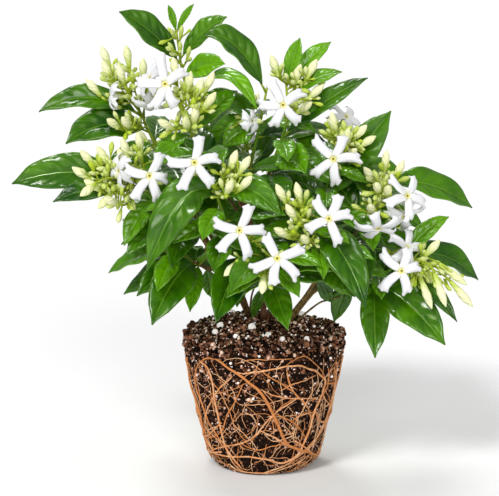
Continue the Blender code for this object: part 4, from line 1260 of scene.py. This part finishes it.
# Shoot, the stalk's place on it, the eye of the bloom, and its five petal tips
OPEN_BLOOMS = {
    "top_left_1": ("top_left", 0.82, (165, 84, 47),
                   [(159, 52), (187, 70), (177, 108), (151, 110), (135, 83)]),
    "top_right_1": ("top_right", 0.72, (283, 105, 38),
                    [(269, 80), (305, 91), (301, 123), (272, 128), (257, 105)]),
    "front_left_1": ("front_left", 0.85, (194.5, 162.6, 66),
                     [(199, 134), (221, 158), (214, 186), (180, 192), (165, 161)]),
    "left_mid_1": ("left_mid", 0.8, (149.6, 175.8, 48),
                   [(161, 151), (169, 180), (159, 201), (133, 201), (123, 167)]),
    "front_centre_1": ("front_centre", 0.8, (239.4, 230.4, 76),
                       [(250, 203), (267, 230), (249, 260), (218, 253), (212, 221)]),
    "front_centre_2": ("front_centre", 0.55, (277.2, 258.4, 82),
                       [(264, 234), (305, 247), (299, 279), (274, 287), (249, 270)]),
    "right_up_1": ("right_up", 0.72, (333.4, 159, 42),
                   [(312, 137), (344, 134), (363, 159), (337, 187), (311, 177)]),
    "front_right_1": ("front_right", 0.9, (328.8, 218.7, 70),
                      [(314, 197), (339, 193), (353, 214), (340, 246), (305, 231)]),
    "right_low_1": ("right_low", 0.8, (401.7, 271, 50),
                    [(380, 250), (408, 246), (421, 266), (408, 295), (380, 292)]),
}
# Shoot, place on it, eye, heading (0 faces the viewer, 90 faces right), rise, first turn, and
# petal length in mm
TURNED_BLOOMS = {
    "left_up_1": ("left_up", 0.94, (112, 96, 14), -78, 5, 10, 8),
    "left_up_2": ("left_up", 0.86, (152, 104, 18), 0, -60, 0, 11),
    "top_left_2": ("top_left", 0.92, (150, 78, 30), -55, 30, 0, 11),
    "left_mid_2": ("left_mid", 0.9, (119, 171, 32), -52, 5, 20, 10),
    "centre_top_1": ("centre_top", 0.7, (252, 121, 20), 50, 10, 30, 7),
    "right_up_2": ("right_up", 0.94, (346, 117, -6), 40, 42, 0, 11),
    "right_mid_1": ("right_mid", 0.86, (407, 196, 44), 32, 20, 15, 14),
    "right_mid_2": ("right_mid", 0.62, (404, 216, 48), 30, -35, 50, 14),
    "right_mid_3": ("right_mid", 0.4, (378, 228, 52), 8, -48, 0, 13),
    "right_low_2": ("right_low", 0.8, (407, 248, 45), 30, 20, 30, 12),
    "back_left_1": ("back_left", 0.97, (162, 150, -76), 200, 25, 0, 14),
    "back_left_2": ("back_left", 0.7, (150, 165, -70), 235, 5, 30, 15),
    "back_low_left_1": ("back_low_left", 0.95, (140, 212, -76), 215, 10, 10, 15),
    "back_centre_1": ("back_centre", 0.97, (252, 122, -68), 175, 30, 20, 14),
    "back_centre_2": ("back_centre", 0.7, (238, 150, -72), 190, 10, 50, 15),
    "back_mid_1": ("back_mid", 0.97, (266, 184, -100), 170, 15, 0, 15),
    "back_mid_2": ("back_mid", 0.75, (240, 220, -96), 195, -5, 36, 15),
    "back_right_1": ("back_right", 0.97, (350, 150, -70), 160, 25, 15, 14),
    "back_right_2": ("back_right", 0.65, (336, 182, -72), 172, 5, 40, 15),
    "back_low_right_1": ("back_low_right", 0.95, (400, 216, -68), 140, 12, 0, 15),
}


def open_petals(eye, tips):
    """Facing and petal vectors of a bloom whose petal tips are seen: its plane faces the viewer."""
    facing = (CAMERA_PLACE - eye).normalized()
    petals = []
    for column, row in tips:
        ray = from_photo(column, row, 0) - CAMERA_PLACE
        hit = CAMERA_PLACE + ray * ((eye - CAMERA_PLACE).dot(facing) / ray.dot(facing))
        petals.append(hit - eye)
    return facing, petals


def turned_petals(heading, rise, turn, length_mm):
    """Facing and petal vectors of a bloom that is seen aslant or not at all."""
    swing = math.radians(heading)
    lift = math.radians(rise)
    facing = Vector((math.sin(swing) * math.cos(lift), -math.cos(swing) * math.cos(lift), math.sin(lift)))
    across = facing.cross(Vector((0, 0, 1))).normalized()
    petals = []
    for index in range(5):
        spin = Matrix.Rotation(math.radians(turn) + math.tau * index / 5, 3, facing)
        petals.append(spin @ across * length_mm / 1000)
    return facing, petals


def settled_bloom(name, spot, shape):
    """The bloom's eye, facing and petals, after the shift that its solid shows."""
    finder = corner_finder("bloom_" + name)
    for shift in SHIFTS_FORWARD:
        eye = along_view(spot, shift)
        facing, petals = open_petals(eye, *shape) if len(shape) == 1 else turned_petals(*shape)
        turn = Matrix.Rotation(-HUB_HALF_SIDE, 3, facing)
        corner = eye + facing * PETAL_THICKNESS / 2 + turn @ petals[0].normalized() * HUB_RADIUS
        if has_corner(finder, corner):
            return eye, facing, petals
    print("no settled place for", name)
    return eye, facing, petals


blooms = {}
for name, (shoot, share, spot, *shape) in (OPEN_BLOOMS | TURNED_BLOOMS).items():
    blooms[name] = (shoot, share, *settled_bloom(name, from_photo(*spot), shape))
print("blooms:", len(blooms))

# %% [markdown]
# ## Petals and throats
#
# A petal is a grid whose rows are pushed out along the petal and whose columns are spread by an
# outline. Small terms then flare and tear its tip, roll its margins, dish it and twist it, each with
# a phase of its own, so no two petals are alike. The throat is a ring turned from a short profile.

# %% Petals and throats
# Half width as a share of the full width, by the share of the way out
PETAL_OUTLINE = (
    (0.0, 0.28), (0.12, 0.35), (0.35, 0.40), (0.6, 0.41),
    (0.78, 0.43), (0.9, 0.52), (0.97, 0.55), (1.0, 0.50),
)
PETAL_ROWS = 18
PETAL_COLUMNS = 10
PETAL_SKIN = 0.00045
# Where the tip starts to flare, and how deep it is cut, as shares of the petal's length
FLARE_STARTS = 0.82
TIP_NOTCH = 0.035
TIP_TEARS = 0.035
TIP_CORNERS = 0.06
TIP_SLANT = 0.13
# How far the petal sways to a side, and how far its parts leave its plane, in metres
PETAL_LEAN = 0.0009
MARGIN_WAVE = 0.00045
MARGIN_ROLL = 0.0013
PETAL_CREASE = 0.0002
PETAL_DISH = 0.0010
PETAL_DROOP = 0.0132
TIP_CURL = 0.0011
# How far one margin rises and the other sinks, as a share of the half width
PETAL_TWIST = 0.22
THROAT_COLUMNS = 12
# Radius and height before the eye: the hollow, the ring, and the tube behind it
THROAT_PROFILE = (
    (0.0, -0.0002), (0.0005, -0.0002), (0.0007, 0.0004), (0.0009, 0.0006), (0.0012, 0.0004),
    (0.0022, 0.0001), (0.0024, -0.0004), (0.0014, -0.0028), (0.0010, -0.0050), (0.0012, -0.0072),
    (0.0009, -0.0090), (0.0, -0.0090),
)


def petal_blade(eye, facing, petal, seed):
    """One strap-shaped petal: narrow at the hub, flared and torn at the tip, with rolled edges."""
    across = facing.cross(petal).normalized()
    mesh, places = sheet(PETAL_ROWS, PETAL_COLUMNS)
    phase = seed * 2.4
    lean = math.sin(phase) * PETAL_LEAN
    for corner, (along, around) in zip(mesh.verts, places):
        side = around * 2 - 1
        share = 0.10 + 0.90 * along
        flare = max(0.0, along - FLARE_STARTS) / (1 - FLARE_STARTS)
        notch = TIP_NOTCH * math.exp(-((side - 0.3 * math.sin(phase)) / 0.2) ** 2) * flare
        torn = TIP_TEARS * math.sin(side * 5.0 + phase) * flare
        corners = TIP_CORNERS * abs(side) ** 6 * flare
        reach = share * (1 - TIP_SLANT * around * along) - notch - torn - corners
        half = between(PETAL_OUTLINE, along) * PETAL_WIDTH
        rise = MARGIN_WAVE * math.sin(along * 9 + phase + side) * side**2 * along
        rise -= MARGIN_ROLL * abs(side) ** 2.5 * min(1.0, along * 2.5)
        rise -= PETAL_CREASE * math.exp(-((side / 0.2) ** 2))
        rise += PETAL_DISH * math.sin(math.pi * min(1.0, share * 1.1))
        rise -= PETAL_DROOP * max(0.0, share - 0.7) ** 2
        rise -= TIP_CURL * flare**1.5 * (0.5 + 0.5 * math.sin(side * 4.0 + phase * 1.3))
        rise += PETAL_TWIST * side * half
        spot = eye + petal * reach + across * (side * half + lean * math.sin(math.pi * along))
        corner.co = spot + facing * rise
    return set_tone(mesh, 0.5)


def throat_cup(eye, facing):
    """The ring round the throat, the hollow inside it, and the tube behind."""
    rows = len(THROAT_PROFILE) - 1
    mesh, places = sheet(rows, THROAT_COLUMNS)
    out = facing.orthogonal().normalized()
    side = facing.cross(out)
    for corner, (along, around) in zip(mesh.verts, places):
        radius, height = THROAT_PROFILE[round(along * rows)]
        turn = math.tau * around
        corner.co = eye + facing * height + (out * math.cos(turn) + side * math.sin(turn)) * radius
    weld(mesh)
    return set_tone(mesh, 0.5)


for order, (name, (shoot, share, eye, facing, petals)) in enumerate(blooms.items()):
    blades = [petal_blade(eye, facing, way, order * 5 + index) for index, way in enumerate(petals)]
    made = piece("petals_" + name, blades, [petal], ["bloom_" + name])
    thicken(made, PETAL_SKIN)
    piece("throat_" + name, [throat_cup(eye, facing)], [throat], ["bloom_" + name])
print("petals:", 5 * len(blooms))

# %% [markdown]
# ## Leaves
#
# Leaves stand in pairs. A blade is folded a little along its rib, arches over, and its margin waves.
# The stalk and the rib under the blade are one tapering tube. The large leaves that the picture shows
# are placed by their tips, and the rest follow the plant's rule of crossed pairs.

# %% Where the leaves are
# Shoot, place on it, tip, width in mm, how far the blade faces the viewer, arch as a share of its length
SHOWN_LEAVES = [
    ("top", 0.8, (119, 12, 12), 17, 0.6, 0.15),
    ("top", 0.83, (227, 17, 4), 14, 0.5, 0.15),
    ("centre_top", 0.95, (205, 36, 18), 19, 0.45, 0.42),
    ("top", 0.72, (225, 64, 14), 14, 0.8, 0.15),
    ("left_up", 0.88, (39, 112, 12), 16, 0.65, 0.3),
    ("left_up", 0.72, (66, 144, 20), 22, 0.65, 0.3),
    ("left_mid", 0.9, (12, 184, 18), 21, 0.8, 0.2),
    ("left_mid", 0.82, (53, 202, 34), 14, 0.6, 0.15),
    ("front_left", 0.82, (147, 271, 62), 21, 0.9, 0.6),
    ("left_low", 0.1, (137, 296, 40), 17, 0.7, 0.25),
    ("left_low", 0.2, (152, 325, 52), 22, 0.9, 0.28),
    ("left_mid", 0.03, (171, 268, 44), 16, 0.8, 0.3),
    ("left_low", 0.15, (190, 312, 34), 10, 0.7, 0.1),
    ("front_left", 0.04, (216, 322, 66), 19, 0.95, 0.12),
    ("front_centre", 0.3, (288, 330, 72), 14, 0.95, 0.1),
    ("right_low", 0.4, (375, 358, 56), 16, 0.9, 0.12),
    ("right_low", 0.32, (445, 345, 50), 22, 0.85, 0.16),
    ("right_low", 0.97, (478, 280, 14), 18, 0.5, 0.3),
    ("right_low", 0.85, (457, 322, 40), 10, 0.6, 0.15),
    ("right_low", 0.78, (436, 228, 38), 6, 0.8, 0.05),
    ("right_mid", 0.95, (472, 208, 4), 19, 0.6, 0.22),
    ("right_low", 0.8, (449, 217, 34), 10, 0.7, 0.2),
    ("right_up", 0.36, (391, 111, 30), 20, 0.95, 0.04),
    ("top_right", 0.5, (368, 78, 24), 12, 0.6, 0.1),
    ("top_right", 0.97, (300, 38, 20), 9, 0.7, 0.05),
    ("top_right", 0.95, (331, 42, 12), 10, 0.6, 0.1),
    ("top_right", 0.85, (342, 72, 24), 10, 0.5, 0.15),
    ("centre_top", 0.55, (223, 147, 18), 15, 0.9, 0.3),
    ("centre_top", 0.62, (206, 145, 10), 13, 0.8, 0.25),
    ("top", 0.55, (257, 110, 26), 13, 0.35, 0.75),
    ("top_right", 0.35, (306, 173, 46), 18, 0.9, 0.15),
    ("centre_top", 0.15, (293, 169, 26), 11, 0.7, 0.1),
    ("front_left", 0.84, (281, 216, 62), 16, 0.92, 0.42),
    ("front_right", 0.7, (366, 308, 72), 20, 0.88, 0.45),
    ("front_right", 0.35, (355, 297, 56), 18, 0.85, 0.15),
    ("top", 0.99, (168, 5, 4), 4, 0.7, 0.1),
    ("top", 0.99, (194, 4, 4), 4, 0.7, 0.1),
]
# Leaves in the depth of the crown and low by the stems, which only the scene has
DEEP_LEAVES = [
    ("back_centre", 0.04, (290, 228, -12), 20, 0.9, 0.12),
    ("back_centre", 0.1, (232, 236, -20), 18, 0.9, 0.12),
    ("back_low_left", 0.1, (198, 266, -20), 17, 0.9, 0.12),
    ("back_low_right", 0.1, (352, 286, -10), 18, 0.9, 0.12),
    ("back_mid", 0.1, (272, 286, -24), 18, 0.9, 0.1),
    ("front_centre", 0.0, (252, 318, 14), 6, 0.9, 0.1),
    ("front_centre", 0.04, (275, 313, 12), 7, 0.8, 0.1),
    ("front_left", 0.0, (237, 307, 8), 10, 0.8, 0.1),
    ("front_right", 0.0, (331, 302, 14), 9, 0.8, 0.1),
    ("right_low", 0.0, (334, 322, 12), 11, 0.7, 0.15),
    ("left_low", 0.0, (212, 298, 6), 9, 0.7, 0.12),
]
deep_tips = [from_photo(*spot) for _, _, spot, *_ in DEEP_LEAVES]
RULE_LEAF_SHARES = (0.15, 0.31, 0.46, 0.62, 0.78)
RULE_LEAF_LENGTH = 0.046
RULE_LEAF_WIDTH_SHARE = 0.4
RULE_LEAF_FACING = 0.45
RULE_LEAF_ARCH = 0.16
RULE_LEAF_TURNS = [
    (math.radians(turn), math.radians(rise), size)
    for size in (1.0, 0.84, 0.7)
    for turn, rise in ((0, 0), (14, 0), (-14, 0), (0, 14), (0, -14), (26, 10), (-26, 10))
]


def rule_leaf(shoot, share, quarter, side, turn, rise, size):
    """Base and tip of a leaf placed by the plant's own rule: pairs that cross from node to node."""
    points = shoot_points(shoot)
    base = smooth_point(points, share)
    ahead = (smooth_point(points, share + 0.02) - smooth_point(points, share - 0.02)).normalized()
    level = ahead.cross(Vector((0, 0, 1))).normalized()
    out = Matrix.Rotation(math.pi / 2 * quarter + turn + 0.35, 3, ahead) @ level * side
    outwards = Vector((base.x, base.y, 0)).normalized()
    course = (out + ahead * (0.25 + rise) + outwards * 0.35 + Vector((0, 0, -0.35))).normalized()
    return base, base + course * RULE_LEAF_LENGTH * size * (0.82 + 0.18 * math.sin(7 * share + side))


leaves = {shoot: [] for shoot in SHOOTS}
for shoot, share, spot, width_mm, face_viewer, arch in SHOWN_LEAVES:
    tip = settled_tip(finders[shoot], from_photo(*spot))
    if tip:
        base = smooth_point(shoot_points(shoot), share)
        leaves[shoot].append((base, tip, width_mm / 1000, face_viewer, arch))
for shoot, share, spot, width_mm, face_viewer, arch in DEEP_LEAVES:
    base = smooth_point(shoot_points(shoot), share)
    leaves[shoot].append((base, from_photo(*spot), width_mm / 1000, face_viewer, arch))
shown_count = sum(len(found) for found in leaves.values())
for shoot in SHOOTS:
    for number, share in enumerate(RULE_LEAF_SHARES):
        for side in (-1, 1):
            for turns in RULE_LEAF_TURNS:
                base, tip = rule_leaf(shoot, share, number % 2, side, *turns)
                if has_corner(finders[shoot], tip):
                    width = RULE_LEAF_WIDTH_SHARE * (tip - base).length
                    leaves[shoot].append((base, tip, width, RULE_LEAF_FACING, RULE_LEAF_ARCH))
                    break
leaf_count = sum(len(found) for found in leaves.values())
print("leaves:", shown_count, "shown and", leaf_count - shown_count, "by rule")

# %% [markdown]
# ## Blades and stalks
#
# The rib is a curve from the base over a raised middle to the tip. The blade is a grid hung on it:
# the outline sets its width, and it is folded along the rib, waved along its margin, tilted a little
# and bulged between the veins. The bulges use the same numbers as the leaf's material, so the
# relief and the drawn veins fall together.

# %% Build a leaf
LEAF_ROWS = 32
LEAF_COLUMNS = 12
LEAF_THICKNESS = 0.0005
# How high the margins are folded up, and how far they wave, as shares of the half width
LEAF_FOLD = 0.28
LEAF_WAVE = 0.11
# The most that a blade tilts about its rib, in radians
LEAF_ROLL = 0.22
# Where the blade starts on the rib, where it opens, and how much of it is drawn out to a point
BLADE_START = 0.07
BLADE_OPENS = 0.08
LEAF_POINT = 0.16
QUILT_HEIGHT = 0.00062
QUILT_OFFSET = 0.55
# A blade with less than this half width is quilted less
QUILT_FULL_WIDTH = 0.004
# Leaves shorter than this are lighter, the more so the shorter they are
YOUNG_LENGTH = 0.045
YOUNG_TONE = 0.65
# Tips, in the picture, of the large leaves that are light green as well
YOUNG_LEAVES = [(449, 217), (300, 38), (331, 42), (168, 5), (194, 4), (225, 64), (257, 110)]
# Radius of the stalk and rib, by the share of the way
LEAF_STALK_PROFILE = ((0, 0.00085), (0.04, 0.0006), (0.12, 0.0005), (0.5, 0.00032), (1, 0.0001))
LEAF_STALK_REACH = 0.92
LEAF_STALK_TONE = 0.9


def leaf_outline(share):
    """Half width as a share of the full width: widest past the middle, with a drawn-out tip."""
    opened = max(0.0, (share - BLADE_OPENS) / (1 - BLADE_OPENS))
    swell = math.sin(math.pi * opened**0.95) ** 0.82
    drawn_out = min(1.0, (1 - opened) / LEAF_POINT) ** 0.4
    return 0.012 + 0.49 * swell * drawn_out


def quilting(along, side):
    """How far a blade bulges between its veins, which run as in the leaf's material."""
    lag = VEIN_LAG if side > 0 else 0
    phase = (along - abs(side) ** VEIN_CURVE * VEIN_SWEEP) * VEIN_PAIRS + QUILT_OFFSET + lag
    tent = 0.5 - abs(phase % 1 - 0.5)
    return QUILT_HEIGHT * (2 * tent) ** 0.7 * min(1.0, abs(side) * 3) * min(1.0, 6 - 6 * abs(side))


def leaf_rib(base, tip, face_viewer, arch):
    """A function that gives the rib's point, and the blade's across and up there."""
    length = (tip - base).length
    middle = (base + tip) / 2 + Vector((0, 0, arch * length))
    outlook = Vector((0, -face_viewer, 1 - face_viewer * 0.75))

    def at(share):
        ahead = ((middle - base).lerp(tip - middle, share)).normalized()
        across = ahead.cross(outlook).normalized()
        return bezier([base, middle, tip], share), across, across.cross(ahead).normalized()

    return at


def leaf_tone(base, tip, seed):
    """Small leaves and those at the shoots' ends are young and light, and large or deep ones dark."""
    young = max(0.0, 1 - (tip - base).length / YOUNG_LENGTH)
    column, row = to_photo(tip)
    if any(math.hypot(column - spot[0], row - spot[1]) < 2 for spot in YOUNG_LEAVES):
        young = max(young, YOUNG_TONE)
    if tip in deep_tips:
        young = 0.0
    return 0.08 + young + 0.2 * (0.5 + 0.5 * math.sin(seed * 5.1))


def leaf_blade(base, tip, width, face_viewer, arch, seed):
    """The blade alone, with its texture's middle on the rib."""
    at = leaf_rib(base, tip, face_viewer, arch)
    mesh, places = sheet(LEAF_ROWS, LEAF_COLUMNS)
    phase = seed * 1.7
    roll = LEAF_ROLL * math.sin(phase)
    for corner, (along, around) in zip(mesh.verts, places):
        side = around * 2 - 1
        share = BLADE_START + (1 - BLADE_START) * along
        centre, across, up = at(share)
        half = leaf_outline(share) * width
        tilt = roll * (share - 0.3)
        sideways = across * math.cos(tilt) + up * math.sin(tilt)
        upright = up * math.cos(tilt) - across * math.sin(tilt)
        fold = LEAF_FOLD * (1.3 * abs(side) - 0.42 * abs(side) ** 3)
        wave = LEAF_WAVE * math.sin(share * 15 + phase + (1.3 if side > 0 else 0)) * side * side
        rise = half * (fold + wave) + quilting(along, side) * min(1.0, half / QUILT_FULL_WIDTH)
        corner.co = centre + sideways * side * half * 0.98 + upright * rise
    return set_tone(mesh, leaf_tone(base, tip, seed))


def leaf_stalk(base, tip, width, face_viewer, arch):
    """The stalk, and the rib that runs on under the blade."""
    at = leaf_rib(base, tip, face_viewer, arch)
    path = []
    radii = []
    for step in even_shares(15):
        share = LEAF_STALK_REACH * step
        centre, _, up = at(share)
        radius = between(LEAF_STALK_PROFILE, share)
        path.append(centre - up * min(radius, share * 0.01) * 0.8)
        radii.append(radius)
    return tube(path, radii, 6, LEAF_STALK_TONE)


seed = 0
for shoot, found in leaves.items():
    blades = []
    for base, tip, *shape in found:
        seed += 1
        blades.append(leaf_blade(base, tip, *shape, seed))
    made = piece("leaves_" + shoot, blades, [leaf_face, leaf_back], ["shoot_" + shoot])
    thicken(made, LEAF_THICKNESS, 1)
print("leaf blades:", seed)

# %% [markdown]
# ## Buds
#
# Closed buds are spindles with their petals wound round each other, on thin stalks in loose heads.
# The picture gives the tips of the main ones. Smaller green ones crowd round each.

# %% Where the buds are
BUD_LENGTH = 0.0125
BUD_RADIUS = 0.0021
STALK_RADIUS = 0.0005
BACK_BUDS_PER_SHOOT = 2
BACK_BUD_SHARE = 0.96
GOLDEN_ANGLE = math.radians(137.5)
BUD_SPACING = 0.05
# Shoots whose buds are smaller than the rest
BUD_SIZES = {"top": 0.6}
# Shoots whose hanging buds are about to open, and are longer than the solids'
LONG_BUDS = {"right_low": 1.5}
SHOWN_BUDS = [
    ("left_up", 0.97, [(101, 46, 8), (126, 45, 6), (102, 60, 12), (143, 58, 6), (118, 64, 16)]),
    ("left_up", 0.85, [(86, 79, 12), (107, 119, 24), (122, 117, 26)]),
    ("left_mid", 0.97, [(80, 150, 22), (72, 167, 26), (97, 146, 24), (118, 148, 28), (84, 180, 34)]),
    ("left_mid", 0.85, [(80, 196, 40), (98, 209, 42), (104, 198, 44), (122, 138, 26), (138, 132, 22)]),
    ("top_left", 0.95, [(191, 71, 34), (203, 78, 36), (214, 72, 30), (216, 92, 38), (173, 57, 28)]),
    ("top_left", 0.75, [(158, 120, 44), (185, 117, 44), (196, 106, 42)]),
    ("top", 0.96, [(171, 29, 4), (182, 25, 4), (168, 42, 6), (180, 41, 8), (190, 46, 6), (173, 58, 8)]),
    ("top_right", 0.96, [(271, 55, 22), (301, 64, 26), (317, 59, 20), (324, 84, 26), (312, 102, 32)]),
    ("right_up", 0.95, [(367, 125, 28), (376, 136, 26), (332, 112, 30), (357, 149, 36), (349, 128, 34)]),
    ("right_mid", 0.94, [(364, 167, 32), (376, 183, 50), (389, 186, 52), (404, 160, 24), (387, 150, 22),
                         (370, 205, 46)]),
    ("right_low", 0.9, [(432, 309, 44), (446, 307, 40), (473, 307, 34), (467, 285, 36), (440, 240, 30)]),
    ("front_left", 0.9, [(237, 150, 56), (250, 156, 54), (252, 176, 58), (232, 180, 64)]),
    ("front_right", 0.92, [(276, 184, 60), (296, 182, 56), (286, 204, 64), (274, 228, 68), (302, 236, 72)]),
    ("front_centre", 0.7, [(224, 276, 74), (262, 294, 82)]),
]


def back_bud_tip(shoot, index):
    """Where a bud ends that stands round the head of a shoot at the back."""
    points = shoot_points(shoot)
    ahead = (points[-1] - points[-2]).normalized()
    out = Matrix.Rotation(index * GOLDEN_ANGLE, 3, ahead) @ ahead.orthogonal().normalized()
    return points[-1] + (ahead + out * 0.9).normalized() * (BUD_LENGTH + 0.004 + 0.002 * index)


def wanted_buds():
    """Shoot, place on it and tip. A bud hangs where its tip is lower than its stalk's foot."""
    for shoot, share, spots in SHOWN_BUDS:
        for index, spot in enumerate(spots):
            yield shoot, share - BUD_SPACING * index, from_photo(*spot)
    for shoot in SHOOTS:
        if shoot.startswith("back"):
            for index in range(BACK_BUDS_PER_SHOOT):
                yield shoot, BACK_BUD_SHARE - BUD_SPACING * index, back_bud_tip(shoot, index)


# How strongly standing buds bend up at their feet, and hanging ones down
BUD_RISE = 0.4
BUD_DROOP = 0.5
LOOSE_BUD_DROOP = 1.2


def bud_ends(shoot, share, wanted, tip, droop):
    """Where a bud's stalk starts, the bud's foot, and its tip. A bud wanted below its start hangs."""
    start = smooth_point(shoot_points(shoot), share)
    hangs = wanted.z < start.z
    lift = Vector((0, 0, -droop if hangs else BUD_RISE))
    ahead = ((tip - start).normalized() + lift).normalized()
    length = BUD_LENGTH * BUD_SIZES.get(shoot, 1.0) * (LONG_BUDS.get(shoot, 1.0) if hangs else 1.0)
    return start, tip - ahead * length, tip


# A bud that only the fine piece shows: its shoot, its stalk's place on it, and its tip
LOOSE_BUDS = [("right_low", 0.86, (446, 307, 56))]
buds = {shoot: [] for shoot in SHOOTS}
for shoot, share, tip in wanted_buds():
    spot = settled_tip(finders[shoot], tip)
    if spot:
        buds[shoot].append(bud_ends(shoot, share, tip, spot, BUD_DROOP))
print("buds that the solids hold:", sum(len(found) for found in buds.values()))
for shoot, share, seen in LOOSE_BUDS:
    tip = from_photo(*seen)
    buds[shoot].append(bud_ends(shoot, share, tip, tip, LOOSE_BUD_DROOP))

# %% [markdown]
# ## Spindles, stalks and green stems
#
# A bud is a tube with a profile, and its spiral comes from the material. Every ripe bud stands in a
# crowd of small green ones on stalks of their own, and so does every bloom. Each shoot's stems and
# buds are two pieces, because they differ in material.

# %% Build buds, stalks and stems
# Radius as a share of the bud's, by the share of the way to its tip
BUD_PROFILE = (
    (0.0, 0.42), (0.08, 0.55), (0.2, 0.62), (0.4, 0.85), (0.6, 1.0), (0.76, 0.85), (0.9, 0.48), (1.0, 0.1),
)
CALYX_RADIUS = 0.0012
CALYX_GAP = 0.0003
# The picture's ripe buds are a little plumper than the solids
BUD_SWELL = 1.1
SMALL_BUDS_PER_BUD = 11
SMALL_BUDS_ON_TOP = 2
SMALL_BUDS_PER_BLOOM = 5
BUD_SIDES = 10
BUD_ROWS = 10
SMALL_BUD_SIDES = 7
SMALL_BUD_ROWS = 6
YOUNG_BUD_TONE = 0.3
GREEN_STEM_FORM = ((1, 0.6), 3, 0.25, 8)
GREEN_STEM_POINTS = 26
# How far up from its foot a shoot is still partly brown
GREEN_STEM_LENGTH = 0.05


def bud_spindle(foot, tip, radius, sides, rows, tone):
    """A bud: fullest past its middle, and pointed."""
    shares = even_shares(rows + 1)
    path = [foot.lerp(tip, share) for share in shares]
    return tube(path, [between(BUD_PROFILE, share) * radius for share in shares], sides, tone)


def thin_stalk(start, foot, ahead, end_radius):
    """A stalk that bends up into the bud or bloom it bears, and widens into its calyx."""
    pull = min(0.010, (foot - start).length * 0.5)
    controls = [start, start.lerp(foot, 0.4) + Vector((0, 0, pull * 0.3)), foot - ahead * pull, foot]
    path = [bezier(controls, share) for share in even_shares(10)]
    radii = [STALK_RADIUS * (1 + 0.1 * math.sin(step)) for step in range(8)]
    return tube(path, radii + [end_radius * 0.7, end_radius], 6, 0.95)


def green_stem_of(points):
    """A shoot's stem, which turns from brown to green on its way up."""
    stem = knotty_tube(smooth_path(points, GREEN_STEM_POINTS), GREEN_STEM_RADIUS, *GREEN_STEM_FORM)
    layer = stem.verts.layers.float["tone"]
    for corner in stem.verts:
        corner[layer] = min(1.0, (corner.co - points[0]).length / GREEN_STEM_LENGTH)
    return stem


def add_small_buds(chance, stems, heads, start, foot, reach, latest, count):
    """Small green buds on side stalks, up to the latest share of the way along a stalk."""
    for _ in range(count):
        origin = start.lerp(foot, chance.uniform(0.35, latest))
        out = Vector([chance.uniform(-1, 1) for _ in range(3)]).normalized()
        way = (reach + out).normalized()
        size = mostly_small(chance, 0.23, 0.38, 1.6)
        small_foot = origin + way * chance.uniform(0.0015, 0.0065)
        small_tip = small_foot + way * BUD_LENGTH * size
        radius = BUD_RADIUS * (0.2 + size)
        tone = chance.uniform(0.0, 0.6)
        stems.append(thin_stalk(origin, small_foot, way, STALK_RADIUS * 1.4))
        heads.append(bud_spindle(small_foot, small_tip, radius, SMALL_BUD_SIDES, SMALL_BUD_ROWS, tone))


chance = random.Random(41)
for shoot in SHOOTS:
    points = shoot_points(shoot)
    stems = [green_stem_of(points)] + [leaf_stalk(base, tip, *shape) for base, tip, *shape in leaves[shoot]]
    heads = []
    crowd = SMALL_BUDS_ON_TOP if shoot in BUD_SIZES else SMALL_BUDS_PER_BUD
    radius = BUD_RADIUS * BUD_SIZES.get(shoot, 1.0) * BUD_SWELL
    for start, foot, tip in buds[shoot]:
        ahead = (tip - foot).normalized()
        tone = YOUNG_BUD_TONE if shoot in BUD_SIZES else chance.uniform(0.7, 1.0)
        stems.append(thin_stalk(start, foot, ahead, STALK_RADIUS * 1.8))
        heads.append(bud_spindle(foot, tip, radius, BUD_SIDES, BUD_ROWS, tone))
        add_small_buds(chance, stems, heads, start, foot, ahead, 1.0, crowd)
    for bearer, share, eye, facing, _ in blooms.values():
        if bearer == shoot:
            start = smooth_point(points, share)
            foot = eye - facing * (TUBE_LENGTH + CALYX_GAP)
            stems.append(thin_stalk(start, foot, facing, CALYX_RADIUS))
            add_small_buds(chance, stems, heads, start, foot, facing * -0.4, 0.8, SMALL_BUDS_PER_BLOOM)
    piece("stems_" + shoot, stems, [green_stem], ["shoot_" + shoot])
    if heads:
        piece("buds_" + shoot, heads, [bud], ["shoot_" + shoot])
print("shoots dressed:", len(SHOOTS))
